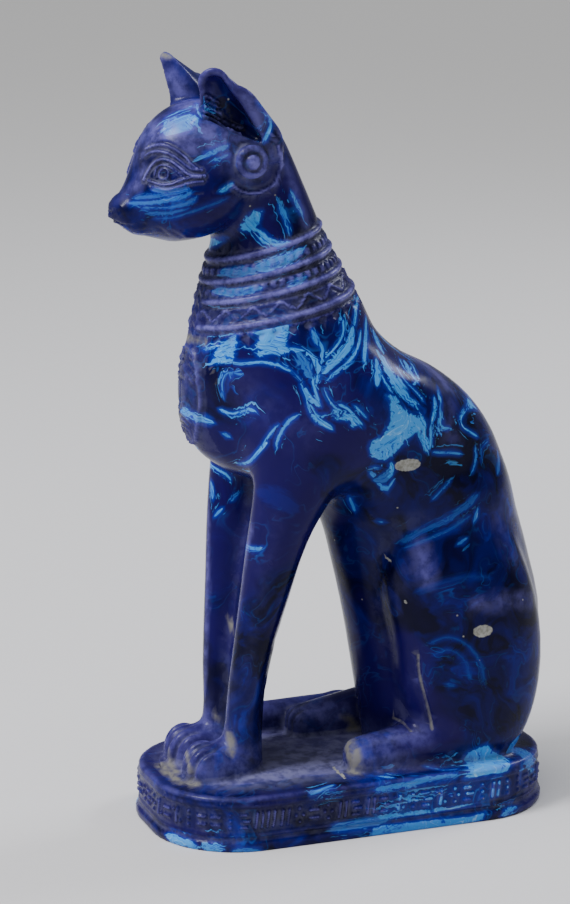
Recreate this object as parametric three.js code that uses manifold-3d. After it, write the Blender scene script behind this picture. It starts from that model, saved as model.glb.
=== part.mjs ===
// A seated cat with a collar and earrings on its plinth, cast in one piece of marbled composition.
// Millimetres, +Z up. The cat looks along -Y and its left side is +X.
// The origin is the centre of the plinth's underside.

import * as THREE from 'three';
import Module from 'manifold-3d';

// Plinth: a slab with round ends, an inscription band and a foot, and a slightly crowned top.
const PLINTH_LENGTH = 130;
const PLINTH_WIDTH = 67;
const PLINTH_CORNER = 27.5;
const PLINTH_HEIGHT = 16.8;
const PLINTH_CROWN = 1.5;
const PLINTH_CORNER_STEPS = 11;
// Edge profile from the underside up: inset from the full outline, height.
const PLINTH_PROFILE = [
  [0.6, 0], [0, 0.8], [0, 2.5], [1.1, 3.4], [1.3, 4.2], [0.5, 5], [1.2, 5.9],
  [1.2, 13.4], [0.5, 14.2], [1.2, 15.2], [0.9, 16], [2.6, PLINTH_HEIGHT],
];
const CROWN_INSETS = [10, 20];
const BURIED = 13;

// Trunk and neck, as level sections: height, front, back, half width.
const TRUNK = [
  [BURIED, 9, 45, 16], [18, 8.5, 49.5, 18], [24, 8, 55.5, 21], [31, 7, 62.3, 23.5],
  [40, 5.5, 66.3, 24.5], [60, 2, 66.3, 24.5], [80, -2.5, 62, 24.5], [95, -7, 57.5, 25.5],
  [105, -19, 55, 26.5], [112, -38, 52.5, 27],
  [120, -47.5, 49, 28], [131, -51.5, 41, 29.5], [140, -51.3, 30, 29.5], [147, -50.2, 17, 28.5],
  [155, -48.5, 8.5, 27], [164, -46.5, 4, 24.5], [174, -44, -2, 20.5], [185, -41, -7.8, 17.5],
  [198, -38, -13.6, 16], [212, -37, -20.2, 15], [222, -37, -25.5, 13],
];
const TRUNK_EGG = 0.14;
const NECK_TOP = 226;
const NECK_ROUND = 12;

// Forelegs and shoulders, as level sections: height, side, fore-and-aft place, half width, half depth.
const FORELEG = [
  [BURIED, 9, -37, 5.4, 6.5], [24, 9.3, -37, 5.2, 6.3], [36, 10.5, -36.6, 4.8, 5.3],
  [45, 12, -36.2, 4.9, 5.4], [58, 13.9, -34.6, 5.3, 6], [74, 16, -31.7, 6.2, 7.5],
  [93, 18.5, -28, 7.6, 9.6], [108, 20, -23, 8.8, 13], [122, 20, -17, 10.2, 18],
  [135, 18.5, -13, 11, 20], [148, 15, -11, 10.5, 17], [158, 12, -12, 9, 14],
];
const SHOULDER_TOP = 150;
const SHOULDER_ROUND = 14;
const WEB_TOP = 112;
const WEB_BEHIND = 3.6;
const WEB_HALF = 2.8;

// Forepaws: one pad and four toes each.
const PAW = { centre: [9.2, -43.3, 19], radii: [8.2, 11.2, 9.3] };
const TOE = { count: 4, pitch: 4.2, reach: -49.5, sweep: 1.3, radii: [2.5, 6.3, 7.9] };

// Haunches, knees and hind feet.
const HAUNCH = { centre: [18.5, 35.8, 54], radii: [13, 24.5, 43], lean: 0.06 };
const KNEE = { centre: [18, 20, 79], radii: [8.6, 12, 19] };
const HIND_FOOT = { side: 18.5, level: 21, heel: [20, 26, 25], radii: [6.3, 7.4] };
const HIND_TOE = { left: -6.5, right: -12 };

// Tail: from the rump round the right side of the plinth's top, thinning to its tip.
const TAIL_ROUTE = [
  [2, 55, 26], [-12, 53, 23], [-21.5, 44, 22], [-26.8, 30, 21.8], [-27.7, 10, 21.8], [-27.7, -31, 21.4],
];
const TAIL_ROOT_RADIUS = 6;
const TAIL_TIP_RADIUS = 5;

// Head.
const SKULL = { centre: [0, -45, 206.6], radii: [17.4, 20.4, 19.2] };
const MUZZLE = {
  back: [0, -57.5, 196.2], backRadius: 11.2, tip: [0, -69.2, 193.8], tipRadius: 4.8, broad: 1.4,
};
const CHIN = { back: [0, -57, 191], backRadius: 6.5, tip: [0, -65.2, 190.3], tipRadius: 4.3 };
const CHEEK = { centre: [9, -50, 196.3], radii: [8.5, 12, 9.3] };
const EYE = { centre: [-60.6, 205.4], length: 6, height: 2.9, rim: 0.85, stands: 0.7, fromMiddle: 5 };
const BROW = { above: 5, drop: 0.05, half: 8, stands: 0.6 };

// Ears: a domed back, and a hollow that opens forward and outward.
const EAR = {
  foot: [11.6, -50.6, 222], turn: 0.42, flare: 0.24, lean: 0.13, depth: 8, rim: 2.3, dome: 9.7,
  bowl: 5.6, sunk: 4.6, floorDrop: 0.46, root: 14,
};
// Circles that an ear's outline and its hollow run round on its face: [across, up, radius] from the tip.
// The left ear's tip is worn round.
const EAR_OUTLINE = {
  left: [[5.6, 9.4, 4.9], [9.9, 0, 9.6], [15.5, -8.5, 9.8]],
  right: [[0.9, 14.4, 2.2], [9.3, 0, 10.2], [15.5, -8.5, 9.8]],
};
const EAR_HOLLOW = {
  left: [[5.9, 9, 3], [8.6, 0, 5.9], [14.3, -8, 4.8]],
  right: [[2.4, 12, 1.2], [8.6, 0, 5.9], [14.3, -8, 4.8]],
};

// Earrings: a disc with a raised button, on the sides of the head behind the cheeks.
const EARRING = { centre: [17.2, -35.5, 208.5], radius: 5, button: 2.2, stands: 1.4, sunk: 4 };

// Collar: ridges round the neck and shoulders, each by its height at the front and its tilt.
const COLLAR_FRONT = -45;
const COLLAR_RIDGES = [
  { height: 177, tilt: 0.31 }, { height: 171, tilt: 0.27 },
  { height: 165.4, tilt: 0.245 }, { height: 158.2, tilt: 0.235 },
];
const COLLAR_RIDGE = { half: 1.4, stands: 0.8 };

// Pendant on the chest: an upright strip with a winged oval below it.
const STRIP = { top: 168, bottom: 149, half: 3, stands: 0.7, edge: 1.5 };
const OVAL = { height: 139, halfHeight: 8.5, half: 6.5, stands: 1.3, edge: 2 };
const CHEST_BACK = -25;

// How widely neighbouring forms run into each other.
const BLEND = {
  web: 3, toe: 1, pad: 2, knee: 10, hindFoot: 3, bluntToe: 3, tail: 2, chin: 3, muzzle: 10, cheek: 6,
  button: 0.6, haunch: 3.5, foreleg: 9, paw: 3, tailRoot: 1.5, head: 6, ear: 3, earHollow: 1,
  earring: 0.6,
};

// Heights over which the head, and under which the collar and pendant, are worked out.
const HEAD_FROM = 170;
const RELIEF_TOP = 196;

// Lines of the meshing grid: [from, to, step] runs along each axis.
const GRID_X = [[-39, -21, 2.4], [-21, 21, 1.3], [21, 39, 2.4]];
const GRID_Y = [[-78, -24, 1.3], [-24, 79, 2.8]];
const GRID_Z = [[9, 33, 1.9], [33, 123, 3.2], [123, 181, 1.9], [181, 243, 1.3]];

// Settling of the mesh's points on the form, and thinning of the mesh.
const SLOPE_STEP = 0.05;
const SETTLE_PASSES = 4;
const CELL_REACH = 0.45;
const CAT_TRIANGLES = 8400;
const LENGTH_COST = 2e-4;
const FOLD_HOLD = 1e-3;
const FOLD_SHARE = 12;
const LEAST_TURN_COSINE = 0.35;
const LEAST_SLIVER = 0.12;

const smoothMin = (a, b, k) => {
  const h = Math.max(k - Math.abs(a - b), 0) / k;
  return Math.min(a, b) - (h * h * k) / 4;
};
const smoothMax = (a, b, k) => -smoothMin(-a, -b, k);
const clamp = (v, low, high) => Math.min(Math.max(v, low), high);

// Reads a table of rows at a key, with a monotone cubic through each column.
function sectionTable(rows) {
  const keys = rows.map((row) => row[0]);
  const columns = rows[0].slice(1).map((_, c) => rows.map((row) => row[c + 1]));
  const slopes = columns.map((values) => {
    const secant = keys.slice(1).map((key, i) => (values[i + 1] - values[i]) / (key - keys[i]));
    return values.map((_, i) => {
      if (i === 0 || i === values.length - 1) return 0;
      const [before, after] = [secant[i - 1], secant[i]];
      return before * after <= 0 ? 0 : (2 * before * after) / (before + after);
    });
  });
  return (key) => {
    const k = clamp(key, keys[0], keys[keys.length - 1]);
    let i = 0;
    while (i < keys.length - 2 && k > keys[i + 1]) i += 1;
    const span = keys[i + 1] - keys[i];
    const t = (k - keys[i]) / span;
    const near = (1 + 2 * t) * (1 - t) * (1 - t);
    const far = t * t * (3 - 2 * t);
    return columns.map((values, c) => near * values[i] + far * values[i + 1]
      + span * (t * (1 - t) * (1 - t) * slopes[c][i] - t * t * (1 - t) * slopes[c][i + 1]));
  };
}

const trunkAt = sectionTable(TRUNK);
const forelegAt = sectionTable(FORELEG);

// Near-distance to an ellipsoid, from the offset to its centre.
function ellipsoid(dx, dy, dz, [rx, ry, rz]) {
  const k0 = Math.hypot(dx / rx, dy / ry, dz / rz);
  const k1 = Math.hypot(dx / (rx * rx), dy / (ry * ry), dz / (rz * rz));
  return k1 < 1e-9 ? -Math.min(rx, ry, rz) : (k0 * (k0 - 1)) / k1;
}

function ellipse(dx, dy, rx, ry) {
  const k0 = Math.hypot(dx / rx, dy / ry);
  const k1 = Math.hypot(dx / (rx * rx), dy / (ry * ry));
  return k1 < 1e-9 ? -Math.min(rx, ry) : (k0 * (k0 - 1)) / k1;
}

// Distance to a straight capsule whose radius changes from one end to the other.
function taperedRod(p, a, b, ra, rb) {
  const d = b.map((v, i) => v - a[i]);
  const q = p.map((v, i) => v - a[i]);
  const t = clamp((q[0] * d[0] + q[1] * d[1] + q[2] * d[2])
    / (d[0] * d[0] + d[1] * d[1] + d[2] * d[2]), 0, 1);
  return Math.hypot(q[0] - t * d[0], q[1] - t * d[1], q[2] - t * d[2]) - (ra + t * (rb - ra));
}

function trunk(x, y, z) {
  const [front, back, half] = trunkAt(z);
  const middle = (front + back) / 2;
  const reach = (back - front) / 2;
  const along = clamp((y - middle) / reach, -1, 1);
  const body = ellipse(x, y - middle, half * (1 + TRUNK_EGG * along), reach);
  return Math.max(smoothMax(body, z - NECK_TOP, NECK_ROUND), BURIED - z);
}

function forelegs(side, y, z) {
  const [out, place, rx, ry] = forelegAt(z);
  const leg = smoothMax(ellipse(side - out, y - place, rx, ry), z - SHOULDER_TOP, SHOULDER_ROUND);
  const web = Math.max(side - out, Math.abs(y - place - WEB_BEHIND) - WEB_HALF, z - WEB_TOP);
  return Math.max(smoothMin(leg, web, BLEND.web), BURIED - z);
}

// Feet and tail go straight down below their widest level, so no pocket is left on the plinth.
function forepaw(side, y, z) {
  const rise = Math.max(z - PAW.centre[2], 0);
  const pad = ellipsoid(side - PAW.centre[0], y - PAW.centre[1], rise, PAW.radii);
  let toes = Infinity;
  for (let i = 0; i < TOE.count; i += 1) {
    const off = i - (TOE.count - 1) / 2;
    const dy = y - TOE.reach - TOE.sweep * Math.abs(off);
    const toe = ellipsoid(side - PAW.centre[0] - off * TOE.pitch, dy, rise, TOE.radii);
    toes = smoothMin(toes, toe, BLEND.toe);
  }
  return Math.max(smoothMin(pad, toes, BLEND.pad), BURIED - z);
}

function hindquarter(side, y, z, toeFront) {
  const rise = Math.max(z, PLINTH_HEIGHT) - HAUNCH.centre[2];
  const haunch = ellipsoid(side - HAUNCH.centre[0], y - HAUNCH.centre[1] + HAUNCH.lean * rise,
    rise, HAUNCH.radii);
  const knee = ellipsoid(side - KNEE.centre[0], y - KNEE.centre[1], z - KNEE.centre[2], KNEE.radii);
  const toe = [HIND_FOOT.side, toeFront + HIND_FOOT.radii[0], HIND_FOOT.level];
  const level = Math.max(z, HIND_FOOT.level);
  const foot = taperedRod([side, y, level], toe, HIND_FOOT.heel, ...HIND_FOOT.radii);
  const blunt = smoothMax(foot, toeFront - y, BLEND.bluntToe);
  return Math.max(smoothMin(smoothMin(haunch, knee, BLEND.knee), blunt, BLEND.hindFoot), BURIED - z);
}

function tail(x, y, z) {
  let nearest = Infinity;
  const last = TAIL_ROUTE.length - 1;
  const level = Math.max(z, TAIL_ROUTE[last][2]);
  for (let i = 0; i < last; i += 1) {
    const radiusAt = (k) => TAIL_ROOT_RADIUS + ((TAIL_TIP_RADIUS - TAIL_ROOT_RADIUS) * k) / last;
    const stretch = taperedRod([x, y, level], TAIL_ROUTE[i], TAIL_ROUTE[i + 1], radiusAt(i), radiusAt(i + 1));
    nearest = smoothMin(nearest, stretch, BLEND.tail);
  }
  return Math.max(nearest, BURIED - z);
}

// The leaf outline, dome and hollow of an ear, in its own directions.
// Distance on an ear's face to the outline that runs round a row of circles.
function leaf(across, up, circles) {
  const rods = circles.slice(1).map(([a, u, r], i) => {
    const [tipA, tipU, tipR] = circles[i];
    return taperedRod([across, up, 0], [tipA, tipU, 0], [a, u, 0], tipR, r);
  });
  return Math.min(...rods);
}

function ear(side, y, z, outline, opening) {
  const c = Math.cos(EAR.turn);
  const s = Math.sin(EAR.turn);
  const up = z - EAR.foot[2];
  const [dx, dy] = [side - EAR.foot[0] - EAR.flare * up, y - EAR.foot[1] + EAR.lean * up];
  const across = dx * s + dy * c;
  const inward = -(dx * c - dy * s);
  const domed = (edge, half, depth) => {
    const within = Math.max(1 + edge / half, 0);
    return (Math.hypot(within, Math.max(inward, 0) / depth) - 1) * Math.min(half, depth);
  };
  const shell = smoothMax(domed(leaf(across, up, outline), EAR.dome, EAR.depth), -inward, EAR.rim / 2);
  const bowl = domed(leaf(across, up, opening), EAR.bowl, EAR.sunk);
  const floor = -(up + EAR.floorDrop * across);
  return { shell: Math.max(shell, -EAR.root - up), hollow: smoothMax(bowl, floor, EAR.rim) };
}

function earring(side, y, z) {
  const [cx, cy, cz] = EARRING.centre;
  const ring = Math.hypot(y - cy, z - cz);
  const disc = Math.max(ring - EARRING.radius, side - cx - EARRING.stands);
  const button = ellipsoid(side - cx - EARRING.stands, y - cy, z - cz,
    [EARRING.stands, EARRING.button, EARRING.button]);
  return Math.max(smoothMin(disc, button, BLEND.button), cx - EARRING.sunk - side);
}

function head(x, y, z) {
  const side = Math.abs(x);
  const skull = ellipsoid(x, y - SKULL.centre[1], z - SKULL.centre[2], SKULL.radii);
  const muzzle = taperedRod([x / MUZZLE.broad, y, z],
    MUZZLE.back, MUZZLE.tip, MUZZLE.backRadius, MUZZLE.tipRadius);
  const chin = taperedRod([x / MUZZLE.broad, y, z], CHIN.back, CHIN.tip, CHIN.backRadius, CHIN.tipRadius);
  const cheek = ellipsoid(side - CHEEK.centre[0], y - CHEEK.centre[1], z - CHEEK.centre[2], CHEEK.radii);
  const snout = smoothMin(muzzle, chin, BLEND.chin);
  let form = smoothMin(smoothMin(skull, snout, BLEND.muzzle), cheek, BLEND.cheek);
  const [across, above] = [y - EYE.centre[0], z - EYE.centre[1]];
  if (side > EYE.fromMiddle) {
    const lens = ellipse(across, above, EYE.length, EYE.height);
    form -= EYE.stands * Math.exp(-((lens / EYE.rim) ** 2));
    const arch = above - BROW.above + BROW.drop * across * across;
    form -= BROW.stands * Math.exp(-(arch * arch) - (across / BROW.half) ** 4);
  }
  return form;
}

// Low relief on the neck and chest, as a rise of the surface.
function relief(x, y, z) {
  let rise = 0;
  for (const { height, tilt } of COLLAR_RIDGES) {
    const off = (z - height - tilt * (y - COLLAR_FRONT)) / COLLAR_RIDGE.half;
    rise = Math.max(rise, COLLAR_RIDGE.stands * Math.exp(-off * off));
  }
  if (y < CHEST_BACK) {
    const strip = Math.max(Math.abs(x) - STRIP.half, z - STRIP.top, STRIP.bottom - z);
    rise = Math.max(rise, STRIP.stands * clamp(0.5 - strip / STRIP.edge, 0, 1));
    const oval = ellipse(x, z - OVAL.height, OVAL.half, OVAL.halfHeight);
    rise = Math.max(rise, OVAL.stands * clamp(0.5 - oval / OVAL.edge, 0, 1));
  }
  return rise;
}

// Signed near-distance to the whole cat: under zero inside.
function cat(x, y, z) {
  const side = Math.abs(x);
  const toeFront = x > 0 ? HIND_TOE.left : HIND_TOE.right;
  let form = smoothMin(trunk(x, y, z), hindquarter(side, y, z, toeFront), BLEND.haunch);
  form = smoothMin(form, forelegs(side, y, z), BLEND.foreleg);
  form = smoothMin(form, forepaw(side, y, z), BLEND.paw);
  form = smoothMin(form, tail(x, y, z), BLEND.tailRoot);
  if (z < RELIEF_TOP) form -= relief(x, y, z);
  if (z > HEAD_FROM) {
    form = smoothMin(form, head(x, y, z), BLEND.head);
    const which = x > 0 ? 'left' : 'right';
    const { shell, hollow } = ear(side, y, z, EAR_OUTLINE[which], EAR_HOLLOW[which]);
    form = smoothMin(form, shell, BLEND.ear);
    form = smoothMax(form, -hollow, BLEND.earHollow);
    form = smoothMin(form, earring(side, y, z), BLEND.earring);
  }
  return form;
}

function gridLines(runs) {
  const lines = [];
  for (const [from, to, step] of runs) {
    const count = Math.round((to - from) / step);
    for (let i = 0; i < count; i += 1) lines.push(from + ((to - from) * i) / count);
  }
  lines.push(runs[runs.length - 1][1]);
  return lines;
}

// Moves a point onto the form's surface, within a reach of where it starts.
function settle(form, start, reach) {
  const p = [...start];
  const h = SLOPE_STEP;
  for (let pass = 0; pass < SETTLE_PASSES; pass += 1) {
    const value = form(...p);
    const slope = p.map((_, i) => {
      const [ahead, behind] = [[...p], [...p]];
      ahead[i] += h;
      behind[i] -= h;
      return (form(...ahead) - form(...behind)) / (2 * h);
    });
    const steep = slope[0] ** 2 + slope[1] ** 2 + slope[2] ** 2;
    if (steep < 1e-4) break;
    for (let i = 0; i < 3; i += 1) {
      p[i] = clamp(p[i] - (value * slope[i]) / steep, start[i] - reach[i], start[i] + reach[i]);
    }
  }
  return p;
}

// The twelve edges of a grid cell, by axis and by the corner that each starts from.
const CELL_EDGES = [0, 1, 2].flatMap((axis) => [0, 1, 2, 3].map((place) => {
  const low = [0, 0, 0];
  low[(axis + 1) % 3] = place & 1;
  low[(axis + 2) % 3] = place >> 1;
  const high = [...low];
  high[axis] = 1;
  return { axis, low, high };
}));
const edgeAt = (axis, corner) => axis * 4 + corner[(axis + 1) % 3] + 2 * corner[(axis + 2) % 3];

// Groups a cell's crossed edges into sheets of surface, walking over its six faces.
function cellSheets(inside, crossed) {
  const group = CELL_EDGES.map((_, e) => e);
  const find = (e) => (group[e] === e ? e : find(group[e]));
  for (let face = 0; face < 6; face += 1) {
    const normal = face >> 1;
    const [u, v] = [(normal + 1) % 3, (normal + 2) % 3];
    const corners = [[0, 0], [1, 0], [0, 1], [1, 1]].map(([a, b]) => {
      const corner = [0, 0, 0];
      corner[normal] = face & 1;
      corner[u] = a;
      corner[v] = b;
      return corner;
    });
    const edges = [edgeAt(u, corners[0]), edgeAt(u, corners[2])];
    edges.push(edgeAt(v, corners[0]), edgeAt(v, corners[1]));
    const hit = edges.filter((e) => crossed[e]);
    if (hit.length === 2) group[find(hit[0])] = find(hit[1]);
    if (hit.length === 4) {
      for (const corner of corners.filter(inside)) group[find(edgeAt(u, corner))] = find(edgeAt(v, corner));
    }
  }
  return CELL_EDGES.map((_, e) => find(e));
}

// Meshes a form on a grid: a vertex for each sheet of surface in a cell, a quad for each crossed edge.
function meshForm(form, xs, ys, zs) {
  const [nx, ny, nz] = [xs.length, ys.length, zs.length];
  const node = (i, j, k) => (k * ny + j) * nx + i;
  const values = new Float64Array(nx * ny * nz);
  for (let k = 0; k < nz; k += 1) {
    for (let j = 0; j < ny; j += 1) {
      for (let i = 0; i < nx; i += 1) values[node(i, j, k)] = form(xs[i], ys[j], zs[k]);
    }
  }
  const positions = [];
  const cells = new Map();

  const makeCell = (i, j, k) => {
    const span = [[xs[i], xs[i + 1]], [ys[j], ys[j + 1]], [zs[k], zs[k + 1]]];
    const reach = span.map(([from, to]) => (to - from) * CELL_REACH);
    const valueAt = ([a, b, c]) => values[node(i + a, j + b, k + c)];
    const crossed = CELL_EDGES.map(({ low, high }) => (valueAt(low) < 0) !== (valueAt(high) < 0));
    const sheets = cellSheets((corner) => valueAt(corner) < 0, crossed);
    const vertices = new Array(CELL_EDGES.length).fill(-1);
    for (const sheet of new Set(sheets.filter((_, e) => crossed[e]))) {
      const members = CELL_EDGES.filter((_, e) => crossed[e] && sheets[e] === sheet);
      const middle = [0, 0, 0];
      for (const { low, high } of members) {
        const t = valueAt(low) / (valueAt(low) - valueAt(high));
        for (let c = 0; c < 3; c += 1) {
          middle[c] += (span[c][low[c]] * (1 - t) + span[c][high[c]] * t) / members.length;
        }
      }
      const vertex = positions.length;
      positions.push(settle(form, middle, reach));
      sheets.forEach((s, e) => {
        if (crossed[e] && s === sheet) vertices[e] = vertex;
      });
    }
    return vertices;
  };

  const vertexOf = (cell, edge) => {
    const key = node(...cell);
    if (!cells.has(key)) cells.set(key, makeCell(...cell));
    return cells.get(key)[edge];
  };

  const triangles = [];
  const gap = (a, b) => Math.hypot(...positions[a].map((v, i) => v - positions[b][i]));
  const diagonals = new Set();
  const diagonal = (a, b) => Math.min(a, b) * values.length + Math.max(a, b);
  for (let k = 1; k < nz - 1; k += 1) {
    for (let j = 1; j < ny - 1; j += 1) {
      for (let i = 1; i < nx - 1; i += 1) {
        CELL_EDGES.filter((_, e) => e % 4 === 0).forEach(({ axis, high }) => {
          const here = values[node(i, j, k)] < 0;
          if (here === values[node(i + high[0], j + high[1], k + high[2])] < 0) return;
          const ring = [[0, 0], [1, 0], [1, 1], [0, 1]].map(([a, b]) => {
            const cell = [i, j, k];
            cell[(axis + 1) % 3] -= a;
            cell[(axis + 2) % 3] -= b;
            return vertexOf(cell, axis * 4 + a + 2 * b);
          });
          if (!here) ring.reverse();
          const [p, q, r, s] = ring;
          const first = gap(p, r) <= gap(q, s)
            ? !diagonals.has(diagonal(p, r)) : diagonals.has(diagonal(q, s));
          diagonals.add(first ? diagonal(p, r) : diagonal(q, s));
          if (first) triangles.push([p, q, r], [p, r, s]);
          else triangles.push([q, r, s], [q, s, p]);
        });
      }
    }
  }
  return { points: positions, faces: triangles };
}

// Thins a closed mesh to a number of triangles, folding away the edges that shape it least.
function thinMesh({ points, faces }, target) {
  const quadrics = points.map(() => new Float64Array(10));
  for (const face of faces) {
    const [a, b, c] = face.map((v) => points[v]);
    const normal = faceNormal(a, b, c);
    const size = Math.hypot(...normal) || 1e-12;
    const plane = [...normal.map((v) => v / size)];
    plane.push(-(plane[0] * a[0] + plane[1] * a[1] + plane[2] * a[2]));
    let term = 0;
    for (let i = 0; i < 4; i += 1) {
      for (let j = i; j < 4; j += 1) {
        for (const v of face) quadrics[v][term] += plane[i] * plane[j] * size;
        term += 1;
      }
    }
  }
  let left = faces;
  while (left.length > target) {
    const around = points.map(() => []);
    left.forEach((face, f) => face.forEach((v) => around[v].push(f)));
    const edges = [];
    for (const face of left) {
      for (let i = 0; i < 3; i += 1) {
        const [a, b] = [face[i], face[(i + 1) % 3]];
        if (a < b) edges.push({ a, b, ...foldPlace(points[a], points[b], quadrics[a], quadrics[b]) });
      }
    }
    edges.sort((p, q) => p.cost - q.cost);
    const quota = Math.min(Math.ceil((left.length - target) / 2), Math.ceil(edges.length / FOLD_SHARE));
    const touched = new Uint8Array(points.length);
    const gone = new Set();
    let folds = 0;
    for (const { a, b, place } of edges) {
      if (folds >= quota) break;
      if (touched[a] || touched[b]) continue;
      const ring = (v) => new Set(around[v].flatMap((f) => left[f]));
      const [near, far] = [ring(a), ring(b)];
      const shared = [...near].filter((v) => v !== a && v !== b && far.has(v));
      const both = around[a].filter((f) => left[f].includes(b));
      const kept = [...around[a], ...around[b]].filter((f) => !both.includes(f));
      if (shared.length !== 2 || kept.some((f) => turnsOver(left[f].map((v) => points[v]),
        left[f].map((v) => (v === a || v === b ? place : points[v]))))) continue;
      points[a] = place;
      quadrics[b].forEach((v, i) => { quadrics[a][i] += v; });
      for (const f of around[b]) left[f] = left[f].map((v) => (v === b ? a : v));
      both.forEach((f) => gone.add(f));
      for (const v of [...near, ...far]) touched[v] = 1;
      folds += 1;
    }
    if (folds === 0) break;
    left = left.filter((_, f) => !gone.has(f));
  }
  return { points, faces: left };
}

function faceNormal(a, b, c) {
  const u = b.map((v, i) => v - a[i]);
  const w = c.map((v, i) => v - a[i]);
  return [u[1] * w[2] - u[2] * w[1], u[2] * w[0] - u[0] * w[2], u[0] * w[1] - u[1] * w[0]];
}

// Whether a moved triangle turns too far or shrinks to a sliver.
function turnsOver(before, after) {
  const [m, n] = [faceNormal(...before), faceNormal(...after)];
  const along = m[0] * n[0] + m[1] * n[1] + m[2] * n[2];
  const size = Math.hypot(...n);
  const lengths = after.map((p, i) => Math.hypot(...p.map((v, k) => v - after[(i + 1) % 3][k])));
  const longest = Math.max(...lengths);
  return along < LEAST_TURN_COSINE * Math.hypot(...m) * size || size < LEAST_SLIVER * longest * longest;
}

// Best place for the point that an edge folds into, and what the fold costs the form.
function foldPlace(p, q, first, second) {
  const [xx, xy, xz, xd, yy, yz, yd, zz, zd, dd] = first.map((v, i) => v + second[i]);
  const middle = p.map((v, i) => (v + q[i]) / 2);
  const hold = FOLD_HOLD * (xx + yy + zz) + 1e-9;
  const [a, e, i] = [xx + hold, yy + hold, zz + hold];
  const right = [hold * middle[0] - xd, hold * middle[1] - yd, hold * middle[2] - zd];
  const solve = (r) => [
    r[0] * (e * i - yz * yz) - xy * (r[1] * i - yz * r[2]) + xz * (r[1] * yz - e * r[2]),
    a * (r[1] * i - yz * r[2]) - r[0] * (xy * i - yz * xz) + xz * (xy * r[2] - r[1] * xz),
    a * (e * r[2] - r[1] * yz) - xy * (xy * r[2] - r[1] * xz) + r[0] * (xy * yz - e * xz),
  ];
  const whole = a * (e * i - yz * yz) - xy * (xy * i - yz * xz) + xz * (xy * yz - e * xz);
  const place = solve(right).map((v) => v / whole);
  const [x, y, z] = place;
  const misfit = xx * x * x + yy * y * y + zz * z * z + dd
    + 2 * (xy * x * y + xz * x * z + yz * y * z + xd * x + yd * y + zd * z);
  const length = Math.hypot(...p.map((v, k) => v - q[k]));
  return { place, cost: misfit + LENGTH_COST * length ** 4 };
}

// The plinth's outline at an inset, as points at one height.
function plinthRing(inset, height) {
  const ring = [];
  const radius = PLINTH_CORNER - inset;
  const [cx, cy] = [PLINTH_WIDTH / 2 - PLINTH_CORNER, PLINTH_LENGTH / 2 - PLINTH_CORNER];
  const corners = [[cx, cy], [-cx, cy], [-cx, -cy], [cx, -cy]];
  corners.forEach(([x, y], quarter) => {
    for (let i = 0; i <= PLINTH_CORNER_STEPS; i += 1) {
      const angle = (Math.PI / 2) * (quarter + i / PLINTH_CORNER_STEPS);
      ring.push([x + radius * Math.cos(angle), y + radius * Math.sin(angle), height]);
    }
  });
  return ring;
}

function plinthMesh() {
  const topInset = PLINTH_PROFILE[PLINTH_PROFILE.length - 1][0];
  const full = PLINTH_CORNER - topInset;
  const crowned = CROWN_INSETS.map((inset) => {
    const left = (PLINTH_CORNER - inset) / full;
    return [inset, PLINTH_HEIGHT + PLINTH_CROWN * (1 - left * left)];
  });
  const rings = [...PLINTH_PROFILE, ...crowned].map(([inset, height]) => plinthRing(inset, height));
  const count = rings[0].length;
  const positions = rings.flat();
  const triangles = [];
  for (let r = 0; r < rings.length - 1; r += 1) {
    for (let i = 0; i < count; i += 1) {
      const next = (i + 1) % count;
      const [a, b] = [r * count + i, r * count + next];
      const [c, d] = [a + count, b + count];
      triangles.push([a, b, d], [a, d, c]);
    }
  }
  const cap = (start, height, up) => {
    const centre = positions.length;
    positions.push([0, 0, height]);
    for (let i = 0; i < count; i += 1) {
      const [a, b] = [start + i, start + ((i + 1) % count)];
      triangles.push([centre, up ? a : b, up ? b : a]);
    }
  };
  cap(0, 0, false);
  cap((rings.length - 1) * count, PLINTH_HEIGHT + PLINTH_CROWN, true);
  return { points: positions, faces: triangles };
}

const wasm = await Module();
wasm.setup();

const toSolid = ({ points, faces }) => new wasm.Manifold(new wasm.Mesh({
  numProp: 3,
  vertProperties: new Float32Array(points.flat()),
  triVerts: new Uint32Array(faces.flat()),
}));

function toGeometry(solid) {
  const mesh = solid.getMesh();
  const geometry = new THREE.BufferGeometry();
  geometry.setAttribute('position', new THREE.BufferAttribute(new Float32Array(mesh.vertProperties), 3));
  geometry.setIndex(new THREE.BufferAttribute(new Uint32Array(mesh.triVerts), 1));
  geometry.computeVertexNormals();
  return geometry;
}

const figure = toSolid(thinMesh(meshForm(cat, gridLines(GRID_X), gridLines(GRID_Y), gridLines(GRID_Z)),
  CAT_TRIANGLES));
const castingMaterial = new THREE.MeshStandardMaterial({ color: 0x1d1668, roughness: 0.25, metalness: 0 });
const casting = new THREE.Mesh(toGeometry(figure.add(toSolid(plinthMesh()))), castingMaterial);
casting.name = 'bastet_cat';

const group = new THREE.Group();
group.add(casting);

export default group;
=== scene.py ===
"""A seated cat with a carved collar, earrings and a chest pendant, in marbled imitation lapis.

The shape is worked out in millimetres, +Z up, with the cat looking along -Y and its left side +X.
"""
import math
from functools import partial

import bpy
import numpy as np
from bpy.props import FloatProperty, FloatVectorProperty, IntProperty, PointerProperty
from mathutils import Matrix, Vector
from mathutils.bvhtree import BVHTree


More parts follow.
